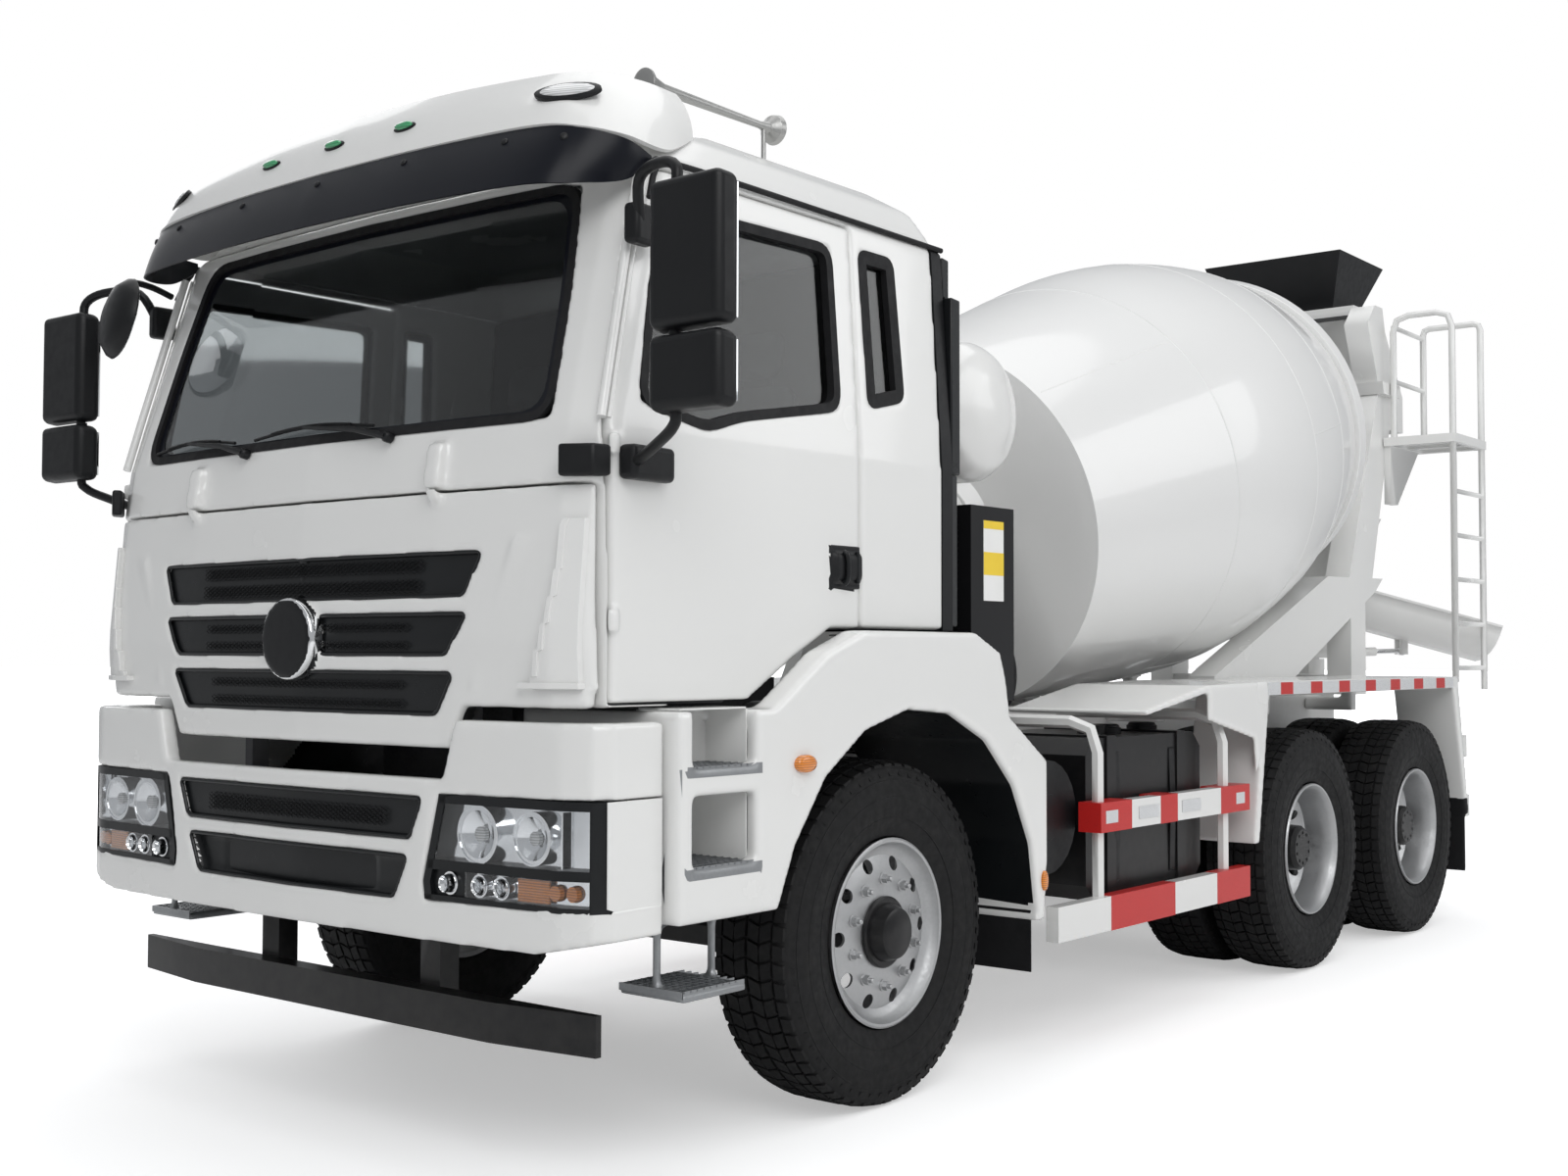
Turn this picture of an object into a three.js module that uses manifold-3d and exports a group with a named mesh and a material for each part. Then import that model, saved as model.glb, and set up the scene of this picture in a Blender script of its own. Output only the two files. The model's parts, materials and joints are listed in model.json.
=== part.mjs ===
// Three-axle concrete mixer truck: chassis, tilting cab, turning drum, hopper and chutes.
// Millimetres, +Z up, ground at z = 0, the front faces -Y and the truck's left side is +X.
// All places are measured from the front axle (y = 0); the finished truck is then moved
// along Y so that the origin lies under the middle of its length.
import * as THREE from 'three';
import { ConvexGeometry } from 'three/addons/geometries/ConvexGeometry.js';
import { mergeVertices } from 'three/addons/utils/BufferGeometryUtils.js';
import Module from 'manifold-3d';

const wasm = await Module();
wasm.setup();

// ---------------------------------------------------------------- driving dimensions

const SEAT_GAP = 0.4;          // gap between pieces that rest on each other
const RUN_GAP = 6;             // gap between pieces that move past each other
const PIN_GAP = 0.6;           // radial gap of a pin in its bore

const TYRE_RADIUS = 540;       // centre to tread, along a flat of the tread
const TYRE_WIDTH = 300;
const RIM_RADIUS = 292;        // bead seat
const TWIN_SPACING = 350;      // between the middles of twin tyres
const WHEELBASE = 3175;        // front axle to first rear axle
const BOGIE_SPACING = 1350;    // between the rear axles
const FRONT_WHEEL_X = 985;     // middle of the front tyre
const REAR_OUTER_X = 1070;     // middle of the outer rear tyre
const KINGPIN_X = 900;
const AXLE_Z = TYRE_RADIUS;

const RAIL_X = 430;            // outside of the frame rails
const RAIL_FLANGE = 80;
const RAIL_HEIGHT = 290;
const RAIL_WALL = 12;
const FRAME_TOP_Z = 1010;
const FRAME_FRONT_Y = -1230;
const FRAME_REAR_Y = 5400;

const BODY_HALF = 1245;        // half width over the fenders
const CAB_HALF = 1150;
const CAB_FRONT_Y = -1430;
const CAB_REAR_Y = 320;
const CAB_FLOOR_Z = 1285;
const CAB_ROOF_Z = 2947;
const CAB_WALL = 50;
const DOOR_FRONT_Y = -1275;
const DOOR_REAR_Y = -195;
const DOOR_GAP = 6;

const SUBFRAME_HEIGHT = 180;
const DECK_Z = 1300;           // top of the rear fenders
const DECK_FRONT_Y = 2560;
const DECK_REAR_Y = 5080;

const DRUM_TILT = THREE.MathUtils.degToRad(13.65);
const DRUM_Y = 1913;           // centre of the drum's front head
const DRUM_Z = 1962;
const DRUM_HEAD_RADIUS = 810;
const DRUM_RADIUS = 1040;
const DRUM_MOUTH_RADIUS = 600;
const DRUM_LENGTH = 3500;
const DRUM_WALL = 14;
const DRUM_SIDES = 32;

const REAR_AXLES = [WHEELBASE, WHEELBASE + BOGIE_SPACING];
const SIDES = [['left', 1], ['right', -1]];

// Tilt pivot, axles and tyres
const CAB_PIVOT_Y = FRAME_FRONT_Y - 70;
const CAB_PIVOT_Z = 950;
const CAB_PIN = 20;            // radius of the tilt pins
const UNDERRUN_Z = [355, 465]; // lower and upper edge of the front underrun bar
const TYRE_SIDES = 20;         // flats round the tread
const AXLE_STUB = 60;          // radius of the rear axle ends
const TYRE_PHASE = Math.PI / TYRE_SIDES;

// Drum, rollers and posts
const DRUM_AXIS = [0, Math.cos(DRUM_TILT), Math.sin(DRUM_TILT)];
// Distance along the drum from its front head, and the radius there
const DRUM_PROFILE = [
  [0, DRUM_HEAD_RADIUS], [1050, DRUM_RADIUS - 68], [1450, DRUM_RADIUS - 10], [1820, DRUM_RADIUS],
  [2280, DRUM_RADIUS - 50], [2800, 862], [3250, 728], [DRUM_LENGTH, DRUM_MOUTH_RADIUS],
];
const TRACK_AT = 2840;         // middle of the roller track along the drum
const TRACK_WIDTH = 90;
const TRACK_RADIUS = 890;
const ROLLER_RADIUS = 125;
const ROLLER_PIN = 30;         // radius of a roller's shaft
const ROLLER_BORE = (ROLLER_PIN + 0.3) / Math.cos(Math.PI / 16);
const ROLLER_ANGLE = THREE.MathUtils.degToRad(20);    // from straight below the drum's axis
const POST_X = [480, 620];     // the inclined beams and posts on each side
const DECK_BASE_Z = FRAME_TOP_Z + SUBFRAME_HEIGHT;

// Hopper, chutes and jack
const CHUTE_X = 150;           // swivel post of the discharge chute
const CHUTE_Y = 5720;
const HOPPER_FOOT = { x: [-330, 330], y: [5690, 6060], z: 3484 + SEAT_GAP };
const HOPPER_RIM = { x: [-430, 430], y: [5560, 6260], z: 3810 };
const CHUTE_HEADING = THREE.MathUtils.degToRad(42);   // from +Y towards +X, as it is parked
const CHUTE_PIVOT = { reach: 120, z: 1590 };
const CHUTE_SLOPE = THREE.MathUtils.degToRad(14);
const CHUTE_LENGTH = 1050;
const CHUTE_RADIUS = 210;
// The jack's lower and upper pins, as [reach from the swivel, height]
const JACK = { foot: [120, 1425], eye: [600, 1440] };
const EYE_PLAY = 7;            // the rod's eye drifts around its pin as the chute tilts
const JACK_LENGTH = Math.hypot(JACK.eye[0] - JACK.foot[0], JACK.eye[1] - JACK.foot[1]);

// Bumper, lamps and fenders
const BUMPER_Z = [640, 1145];
const BUMPER_CORNER_Z = 1236;  // top of the bumper's outer ends
const LAMP_OUTLINE = [[650, 1030], [1215, 1040], [1215, 765], [600, 750], [590, 800]];
const ARCH_RADIUS = TYRE_RADIUS + 165;   // front wheel opening

// Cab shell, its openings and hinges. Side openings are [y, z], the windscreen is [x, z].
const WINDSCREEN = [[-960, 2040], [960, 2040], [930, 2400], [880, 2715], [-880, 2715], [-930, 2400]];
const DOOR_WINDOW = [[-1165, 2085], [-900, 2035], [-760, 2080], [-290, 2160], [-300, 2655], [-1030, 2640],
  [-1110, 2400]];
const QUARTER_WINDOW = [[-125, 2190], [45, 2230], [22, 2665], [-140, 2665]];
const DOOR_TOP_Z = 2735;
const DOOR_LOW = [[DOOR_FRONT_Y, CAB_FLOOR_Z], [-720, CAB_FLOOR_Z], [-520, 1400], [-345, 1485],
  [DOOR_REAR_Y, 1493]];
const LID_Z = [1155, 1855];    // grille lid, lower and upper edge
const LID_HALF = 1120;
const CAB_LOW = [[CAB_FRONT_Y - 50, CAB_FLOOR_Z - 15], [-720, CAB_FLOOR_Z - 15], [-500, 1405],
  [-340, 1491], [CAB_REAR_Y + 20, 1491]];
const PANEL_GAP = SEAT_GAP / 2;
const ROOF_SPLIT_Z = 2765;
const BACK_SPLIT_Y = CAB_REAR_Y - CAB_WALL - 10;
const LID_BACK_Y = -1290;
const LID_HINGE_Y = -1402;     // hinge line of the lid, just in front of its upper edge
const LID_HINGE_Z = LID_Z[1] + 3;
const LID_BARREL = 9;          // radius of the lid's hinge barrels
const LID_TAB_X = 577;
const DOOR_HINGE_X = CAB_HALF + 5;
const DOOR_HINGE_Y = DOOR_FRONT_Y - 5;
const DOOR_HINGE_Z = [1500, 1960];
const DOOR_BARREL = 13;        // radius of a door's hinge barrels
const FLOOR_FRONT_Y = LID_BACK_Y + 32 + SEAT_GAP;
const FLOOR_HALF = 1050;

// ---------------------------------------------------------------- solids

/** Turns a closed three.js geometry into a manifold solid. */
function solid(geometry) {
  const plain = geometry.clone();
  for (const name of Object.keys(plain.attributes)) {
    if (name !== 'position') plain.deleteAttribute(name);
  }
  const merged = mergeVertices(plain, 1e-3);
  const mesh = new wasm.Mesh({
    numProp: 3,
    vertProperties: new Float32Array(merged.attributes.position.array),
    triVerts: new Uint32Array(merged.index.array),
  });
  return new wasm.Manifold(mesh);
}

/** Joins solids into one. */
function join(...parts) {
  return parts.flat().reduce((sum, part) => sum.add(part));
}

/** Cuts every tool out of a solid. */
function cut(body, ...tools) {
  return tools.flat().reduce((rest, tool) => rest.subtract(tool), body);
}

/** A box between two corners, given as [low, high] along each axis. */
function box(x, y, z) {
  const geometry = new THREE.BoxGeometry(x[1] - x[0], y[1] - y[0], z[1] - z[0]);
  geometry.translate((x[0] + x[1]) / 2, (y[0] + y[1]) / 2, (z[0] + z[1]) / 2);
  return solid(geometry);
}

/** The convex solid around a set of [x, y, z] points. */
function hull(points) {
  return solid(new ConvexGeometry(points.map((p) => new THREE.Vector3(...p))));
}

/** Extrudes an outline drawn in one plane along the axis across it, from one place to another. */
function extrude(axis, outline, from, to) {
  const shape = outline instanceof THREE.Shape
    ? outline
    : new THREE.Shape(outline.map(([a, b]) => new THREE.Vector2(a, b)));
  const geometry = new THREE.ExtrudeGeometry(shape, {
    depth: to - from, bevelEnabled: false, curveSegments: 6,
  });
  geometry.translate(0, 0, from);
  if (axis === 'x') geometry.applyMatrix4(new THREE.Matrix4().set(
    0, 0, 1, 0, 1, 0, 0, 0, 0, 1, 0, 0, 0, 0, 0, 1,
  ));
  if (axis === 'y') geometry.applyMatrix4(new THREE.Matrix4().set(
    1, 0, 0, 0, 0, 0, -1, 0, 0, 1, 0, 0, 0, 0, 0, 1,
  ).premultiply(new THREE.Matrix4().makeTranslation(0, from + to, 0)));
  return solid(geometry);
}

/** A cylinder along x, y or z, centred on a point. */
function rod(axis, centre, radius, length, sides = 16, endRadius = radius) {
  const geometry = new THREE.CylinderGeometry(endRadius, radius, length, sides);
  if (axis === 'x') geometry.rotateZ(-Math.PI / 2);
  if (axis === 'z') geometry.rotateX(Math.PI / 2);
  geometry.translate(...centre);
  return solid(geometry);
}

/** A round bar from one point to another. */
function bar(from, to, radius, sides = 6) {
  const start = new THREE.Vector3(...from);
  const end = new THREE.Vector3(...to);
  const along = end.clone().sub(start);
  const geometry = new THREE.CylinderGeometry(radius, radius, along.length(), sides);
  const turn = new THREE.Quaternion().setFromUnitVectors(
    new THREE.Vector3(0, 1, 0), along.clone().normalize());
  geometry.applyQuaternion(turn);
  geometry.translate(...start.add(end).multiplyScalar(0.5).toArray());
  return solid(geometry);
}

/** A path through bend points, which an extrusion follows point by point. */
class BendPath extends THREE.Curve {
  constructor(points) {
    super();
    this.points = points;
  }

  getPointAt(u) {
    return this.points[Math.round(u * (this.points.length - 1))].clone();
  }

  getSpacedPoints() {
    return this.points.map((point) => point.clone());
  }

  getTangentAt(u) {
    const last = this.points.length - 1;
    const at = Math.round(u * last);
    const before = this.points[Math.max(at - 1, 0)];
    const after = this.points[Math.min(at + 1, last)];
    return after.clone().sub(before).normalize();
  }
}

/** A bent round tube through corner points, each corner rounded by the bend radius. */
function tube(corners, radius, bend = 60, sides = 6) {
  const at = corners.map((corner) => new THREE.Vector3(...corner));
  const points = [at[0]];
  for (let i = 1; i < at.length - 1; i += 1) {
    const back = at[i - 1].clone().sub(at[i]).setLength(bend).add(at[i]);
    const ahead = at[i + 1].clone().sub(at[i]).setLength(bend).add(at[i]);
    points.push(...new THREE.QuadraticBezierCurve3(back, at[i], ahead).getPoints(2));
  }
  points.push(at[at.length - 1]);
  const ring = new THREE.Shape();
  for (let i = 0; i < sides; i += 1) {
    const angle = (i * 2 * Math.PI) / sides;
    ring[i ? 'lineTo' : 'moveTo'](radius * Math.cos(angle), radius * Math.sin(angle));
  }
  return solid(new THREE.ExtrudeGeometry(ring, {
    steps: points.length - 1, bevelEnabled: false, extrudePath: new BendPath(points),
  }));
}

/** A turned solid: [along, radius] profile points about an axis through a point. */
function turned(profile, sides, axis = [1, 0, 0], centre = [0, 0, 0], phase = 0) {
  const points = profile.map(([along, radius]) => new THREE.Vector2(radius, along));
  const closed = profile[0][1] === 0 ? points : [...points, points[0].clone()];
  const geometry = new THREE.LatheGeometry(closed, sides, phase);
  const turn = new THREE.Quaternion().setFromUnitVectors(
    new THREE.Vector3(0, 1, 0), new THREE.Vector3(...axis).normalize());
  geometry.applyQuaternion(turn);
  geometry.translate(...centre);
  const made = solid(geometry);
  return made.volume() > 0 ? made : solid(flipped(geometry));
}

/** The same geometry with its faces turned the other way. */
function flipped(geometry) {
  const index = geometry.index.array;
  for (let i = 0; i < index.length; i += 3) {
    [index[i], index[i + 1]] = [index[i + 1], index[i]];
  }
  return geometry;
}

/** The same solid on the truck's other side. */
function mirrored(body, side) {
  return side > 0 ? body : body.mirror([1, 0, 0]);
}

// ---------------------------------------------------------------- materials

const paint = { color: 0xf4f4f0, roughness: 0.22, metalness: 0.0 };
const blackPlastic = { color: 0x17181a, roughness: 0.55, metalness: 0.0 };
const blackMetal = { color: 0x141516, roughness: 0.45, metalness: 0.3 };
const frameMetal = { color: 0x1d1e20, roughness: 0.6, metalness: 0.3 };
const rubber = { color: 0x161616, roughness: 0.85, metalness: 0.0 };
const silver = { color: 0xa9abad, roughness: 0.38, metalness: 0.8 };
const steel = { color: 0x7d8083, roughness: 0.4, metalness: 0.9 };
const tinted = { color: 0x2c3538, roughness: 0.08, metalness: 0.0 };
const cloth = { color: 0x3a3b3e, roughness: 0.9, metalness: 0.0 };

const truck = new THREE.Group();

/** Adds one named piece to the truck. */
function piece(name, body, look) {
  const mesh = body.getMesh();
  const geometry = new THREE.BufferGeometry();
  geometry.setAttribute('position', new THREE.BufferAttribute(mesh.vertProperties, 3));
  geometry.setIndex(new THREE.BufferAttribute(mesh.triVerts, 1));
  geometry.computeVertexNormals();
  const made = new THREE.Mesh(geometry, new THREE.MeshStandardMaterial(look));
  made.name = name;
  truck.add(made);
}

// ---------------------------------------------------------------- chassis

function chassisFrame() {
  const low = FRAME_TOP_Z - RAIL_HEIGHT;
  const rails = SIDES.map(([, side]) => {
    const rail = box([RAIL_X - RAIL_FLANGE, RAIL_X], [FRAME_FRONT_Y, FRAME_REAR_Y], [low, FRAME_TOP_Z]);
    const inside = box(
      [RAIL_X - RAIL_FLANGE - 10, RAIL_X - RAIL_WALL],
      [FRAME_FRONT_Y - 10, FRAME_REAR_Y + 10],
      [low + RAIL_WALL, FRAME_TOP_Z - RAIL_WALL]);
    return mirrored(cut(rail, inside), side);
  });
  const inner = RAIL_X - RAIL_WALL / 2;
  const memberY = [FRAME_FRONT_Y + 60, WHEELBASE - 1275, WHEELBASE - 575, WHEELBASE + BOGIE_SPACING / 2,
    FRAME_REAR_Y - 30];
  const members = memberY.map((y) => box(
    [-inner, inner], [y - 25, y + 25], [low + 40, FRAME_TOP_Z - 40]));
  const cabFoot = SIDES.map(([, side]) => mirrored(join(
    box([RAIL_X - 10, RAIL_X + 55], [CAB_PIVOT_Y - 45, FRAME_FRONT_Y + 80],
      [CAB_PIVOT_Z - 80, CAB_PIVOT_Z + 45]),
    rod('x', [RAIL_X + 75, CAB_PIVOT_Y, CAB_PIVOT_Z], CAB_PIN, 100, 16)), side));
  const barFoot = SIDES.map(([, side]) => mirrored(box(
    [RAIL_X - 90, RAIL_X - 4], [FRAME_FRONT_Y + 5, FRAME_FRONT_Y + 75], [UNDERRUN_Z[0], low + 30]), side));
  return join(rails, members, cabFoot, barFoot, underrunBar());
}

function engineBlock() {
  const width = RAIL_X - RAIL_FLANGE - 40;
  const engine = box([-width, width], [-850, 420], [640, 1330]);
  const gearbox = box([-200, 200], [400, 1350], [660, 1000]);
  const feet = SIDES.map(([, side]) => mirrored(join([-600, 250, 1100].map((y) => box(
    [150, RAIL_X - RAIL_WALL - SEAT_GAP], [y - 40, y + 40], [800, 850]))), side));
  return join(engine, gearbox, feet);
}

/** Beam axle on two leaf springs, hung under the rails. */
function frontAxle() {
  const railLow = FRAME_TOP_Z - RAIL_HEIGHT;
  const beam = join(
    box([-620, 620], [-45, 45], [430, 530]),
    SIDES.map(([, side]) => mirrored(join(
      hull([[600, -45, 430], [600, 45, 430], [600, -45, 530], [600, 45, 530],
        [KINGPIN_X - 60, -45, 490], [KINGPIN_X - 60, 45, 490],
        [KINGPIN_X - 60, -45, 590], [KINGPIN_X - 60, 45, 590]]),
      box([KINGPIN_X - 70, KINGPIN_X], [-45, 45], [490, 590]),
      rod('z', [KINGPIN_X, 0, AXLE_Z], 45, 100, 16),
    ), side)));
  const springX = [RAIL_X - 80, RAIL_X - 5];
  const springs = SIDES.map(([, side]) => mirrored(join(
    extrude('x', [[-780, 660], [-400, 600], [0, 570], [400, 600], [780, 660], [780, 690],
      [400, 640], [0, 625], [-400, 640], [-780, 690]], ...springX),
    box(springX, [-70, 70], [500, 640]),
    box(springX, [-810, -740], [650, railLow - SEAT_GAP]),
    box(springX, [740, 810], [650, railLow - SEAT_GAP]),
  ), side));
  return join(beam, springs);
}

/** Fork around the end of the axle beam, with the stub axle of a steered wheel. */
function knuckle(side) {
  const gapUp = 590 + PIN_GAP;
  const gapLow = 490 - PIN_GAP;
  const fork = box([KINGPIN_X - 28, KINGPIN_X + 90], [-55, 55], [gapLow - 45, gapUp + 45]);
  const room = box([KINGPIN_X - 60, KINGPIN_X + 52], [-70, 70], [gapLow, gapUp]);
  const stub = rod('x', [KINGPIN_X + 155, 0, AXLE_Z], 45, 160, 20);
  return mirrored(join(cut(fork, room), stub), side);
}

/** One tyre section as [across, radius] points, from bead to bead. */
function tyreSection(middle) {
  const half = TYRE_WIDTH / 2;
  const tread = TYRE_RADIUS / Math.cos(Math.PI / TYRE_SIDES);
  return [
    [middle - half + 30, RIM_RADIUS], [middle - half, tread - 110], [middle - half + 40, tread],
    [middle + half - 40, tread], [middle + half, tread - 110], [middle + half - 30, RIM_RADIUS],
  ];
}

function frontTyre(side) {
  return mirrored(turned(tyreSection(FRONT_WHEEL_X), TYRE_SIDES, [1, 0, 0], [0, 0, AXLE_Z],
    TYRE_PHASE), side);
}

/** Radius of a faceted bore that a round pin turns in. */
function turnedBore(pin) {
  return (pin + PIN_GAP) / Math.cos(Math.PI / TYRE_SIDES);
}

/** Rim, disc with hand holes and hub of a front wheel. */
function frontWheel(side) {
  const rim = RIM_RADIUS - SEAT_GAP;
  const x = FRONT_WHEEL_X;
  const bore = turnedBore(45);
  const body = turned([
    [x + 165, 0], [x + 165, bore], [x + 20, bore], [x + 20, 120], [x - 50, 200], [x - 50, 228],
    [x + 85, 240], [x + 85, rim - 24], [x - 118, rim - 24], [x - 118, rim], [x + 122, rim],
    [x + 140, rim + 8], [x + 140, rim - 14], [x + 105, 255], [x + 112, 175], [x + 112, 100],
    [x + 175, 85], [x + 175, 0],
  ], TYRE_SIDES, [1, 0, 0], [0, 0, AXLE_Z], TYRE_PHASE);
  const holes = Array.from({ length: 10 }, (_, i) => {
    const angle = (i * Math.PI) / 5;
    return rod('x', [x + 100, 214 * Math.sin(angle), AXLE_Z + 214 * Math.cos(angle)], 22, 90, 6);
  });
  return mirrored(cut(body, holes), side);
}

/** Twin tyres joined by their rims, discs and hub, which turn as one. */
function rearWheel(y, side) {
  const outer = REAR_OUTER_X;
  const inner = REAR_OUTER_X - TWIN_SPACING;
  const bore = turnedBore(AXLE_STUB);
  const profile = [
    [outer + 80, 0], [outer + 80, bore], [inner - 110, bore], [inner - 110, 200], [inner + 60, 200],
    [inner + 100, 250], [inner - 120, 262],
    ...tyreSection(inner), ...tyreSection(outer),
    [outer + 130, 262], [outer - 20, 250], [outer - 60, 190], [outer - 60, 120], [outer + 90, 105],
    [outer + 90, 0],
  ];
  return mirrored(turned(profile, TYRE_SIDES, [1, 0, 0], [0, y, AXLE_Z], TYRE_PHASE), side);
}

/** Both driven axles with their leaf springs, and the shaft from the gearbox. */
function rearBogie() {
  const inner = REAR_OUTER_X - TWIN_SPACING - 110;
  const axles = REAR_AXLES.map((y) => join(
    rod('x', [0, y, AXLE_Z], 85, 2 * (inner - 30), 8),
    rod('x', [0, y, AXLE_Z], AXLE_STUB, 2 * (REAR_OUTER_X + 60), 12),
    rod('y', [0, y, AXLE_Z], 210, 180, 10),
    rod('y', [0, y - 170, AXLE_Z], 90, 200, 8, 130)));
  const [front, rear] = REAR_AXLES;
  const middle = (front + rear) / 2;
  const springX = [RAIL_X - 60, RAIL_X + 40];
  const springs = SIDES.map(([, side]) => mirrored(join(
    extrude('x', [[front - 80, 600], [rear + 80, 600], [rear + 80, 640], [middle + 250, 660],
      [middle, 690], [middle - 250, 660], [front - 80, 640]], ...springX),
    box(springX, [middle - 120, middle + 120], [650, FRAME_TOP_Z - RAIL_HEIGHT - SEAT_GAP]),
  ), side));
  const shaft = bar([0, 1360, 770], [0, front - 200, AXLE_Z + 20], 50, 8);
  const link = bar([0, front + 60, AXLE_Z + 20], [0, rear - 200, AXLE_Z + 10], 50, 8);
  return join(axles, springs, shaft, link);
}

/** Mixer frame on top of the truck's rails. */
function subframe() {
  const z = [FRAME_TOP_Z + SEAT_GAP, FRAME_TOP_Z + SUBFRAME_HEIGHT];
  const rails = SIDES.map(([, side]) => mirrored(box([RAIL_X - 80, RAIL_X], [900, FRAME_REAR_Y], z), side));
  const members = [1000, 1700, 2500, 3300, 4100, 5200].map((y) => box(
    [-RAIL_X + 20, RAIL_X - 20], [y - 40, y + 40], [z[0] + 40, z[1]]));
  return join(rails, members);
}

// ---------------------------------------------------------------- drum and its drive

/** A point on the drum's axis, a distance behind its front head. */
function onDrumAxis(along) {
  return [0, DRUM_Y + along * DRUM_AXIS[1], DRUM_Z + along * DRUM_AXIS[2]];
}

function drum() {
  const inside = DRUM_PROFILE.filter((_, i) => i !== 2 && i !== 4)
    .map(([along, radius]) => [along, radius - DRUM_WALL]).reverse();
  inside[inside.length - 1] = [DRUM_WALL, DRUM_HEAD_RADIUS - DRUM_WALL];
  const shell = turned(
    [[-60, 0], [-60, 260], [0, 300], ...DRUM_PROFILE, ...inside, [DRUM_WALL, 0]],
    DRUM_SIDES, DRUM_AXIS, onDrumAxis(0));
  const track = turned([
    [TRACK_AT - TRACK_WIDTH / 2, 840], [TRACK_AT - TRACK_WIDTH / 2, TRACK_RADIUS],
    [TRACK_AT + TRACK_WIDTH / 2, TRACK_RADIUS], [TRACK_AT + TRACK_WIDTH / 2, 840],
  ], DRUM_SIDES, DRUM_AXIS, onDrumAxis(0));
  return join(shell, track);
}

/** Where a roller's centre lies, in the plane of the track. */
function rollerCentre(side) {
  const reach = TRACK_RADIUS + ROLLER_RADIUS + 2;
  const [, y, z] = onDrumAxis(TRACK_AT);
  const down = reach * Math.cos(ROLLER_ANGLE);
  return [side * reach * Math.sin(ROLLER_ANGLE), y + down * DRUM_AXIS[2], z - down * DRUM_AXIS[1]];
}

function roller(side) {
  const half = TRACK_WIDTH / 2 + 10;
  return turned([[-half - 80, 0], [-half - 80, ROLLER_PIN], [-half, ROLLER_PIN], [-half, ROLLER_RADIUS],
    [half, ROLLER_RADIUS], [half, ROLLER_PIN], [half + 80, ROLLER_PIN], [half + 80, 0]],
  16, DRUM_AXIS, rollerCentre(side));
}

/** Pedestal under the front of the drum, with the gearbox and motor that turn it. */
function drumDrive() {
  const base = FRAME_TOP_Z + SUBFRAME_HEIGHT + SEAT_GAP;
  const gearbox = turned([[-520, 0], [-520, 90], [-380, 90], [-380, 210], [-200, 240], [-61, 240], [-61, 0]],
    20, DRUM_AXIS, onDrumAxis(0));
  const legs = SIDES.map(([, side]) => mirrored(hull([
    [RAIL_X - 75, 1300, base], [RAIL_X - 75, 1780, base], [RAIL_X - 5, 1300, base], [RAIL_X - 5, 1780, base],
    [230, 1480, 1800], [230, 1700, 1800], [290, 1480, 1800], [290, 1700, 1800]]), side));
  const plate = box([-300, 300], [1480, 1700], [1640, 1800]);
  return join(gearbox, legs, plate);
}

// ---------------------------------------------------------------- rear frame, hopper and platform

/** Inclined box beams, leaning posts and cross members that carry the rollers and the hopper. */
function rearFrame() {
  const side = SIDES.map(([, way]) => mirrored(join(
    extrude('x', [[3420, DECK_BASE_Z + SEAT_GAP], [4130, DECK_BASE_Z + SEAT_GAP], [5560, 1780],
      [5680, 1860], [4850, 1845], [3420, 1310]], ...POST_X),
    extrude('x', [[5160, 1840], [5510, 1840], [5885, 2960], [5640, 2960]], ...POST_X),
    extrude('x', [[5620, 2940], [5890, 2940], [5890, 3010], [5600, 3010]], POST_X[0] - 20, POST_X[1] + 40),
    extrude('x', [[5640, 3000], [5860, 3000], [5720, 3460], [5600, 3460], [5480, 3340]], ...POST_X),
    box([POST_X[0], POST_X[1]], [5180, 5400], [DECK_BASE_Z + SEAT_GAP, 1850]),
  ), way));
  const members = [
    box([-POST_X[0] - 10, POST_X[0] + 10], [5440, 5540], [1790, 1855]),
    box([-POST_X[0] - 10, POST_X[0] + 10], [4800, 5010], [1500, 1560]),
    box([-POST_X[0] - 10, POST_X[0] + 10], [5200, 5380], [DECK_BASE_Z + SEAT_GAP, 1300]),
  ];
  const chairs = SIDES.map(([, way]) => {
    const [x, y, z] = rollerCentre(way);
    const half = TRACK_WIDTH / 2 + 10 + RUN_GAP;
    const cheeks = [-1, 1].map((end) => {
      const at = end * (half + 50);
      const cy = y + at * DRUM_AXIS[1];
      const cz = z + at * DRUM_AXIS[2];
      return box(way > 0 ? [x - 60, POST_X[0] + 5] : [-POST_X[0] - 5, x + 60], [cy - 12, cy + 12],
        [1545, cz + 45]);
    });
    const pinHole = turned([[-200, 0], [-200, ROLLER_BORE], [200, ROLLER_BORE], [200, 0]],
      16, DRUM_AXIS, [x, y, z]);
    return cut(join(cheeks), pinHole);
  });
  const chuteBoss = rod('z', [CHUTE_X, CHUTE_Y, 1330], 90, 120, 16);
  const bossArm = box([-60, CHUTE_X + 60], [5370, CHUTE_Y], [DECK_BASE_Z + SEAT_GAP, 1300]);
  return join(side, members, chairs, chuteBoss, cut(bossArm, box([-900, 900], [5000, 6000], [1385, 1500])));
}

/** A tapering box open at top and bottom, from a rim rectangle to a lower rectangle. */
function funnel(rim, foot, wall) {
  const corners = ({ x, y, z }, grow) => [
    [x[0] - grow, y[0] - grow, z], [x[1] + grow, y[0] - grow, z],
    [x[0] - grow, y[1] + grow, z], [x[1] + grow, y[1] + grow, z],
  ];
  const outside = hull([...corners(rim, 0), ...corners(foot, 0)]);
  const inside = hull([
    ...corners({ ...rim, z: rim.z + 1 }, -wall),
    ...corners({ ...foot, z: foot.z - 1 }, -wall),
  ]);
  return cut(outside, inside);
}

function hopper() {
  return funnel(HOPPER_RIM, HOPPER_FOOT, 12);
}

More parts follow.
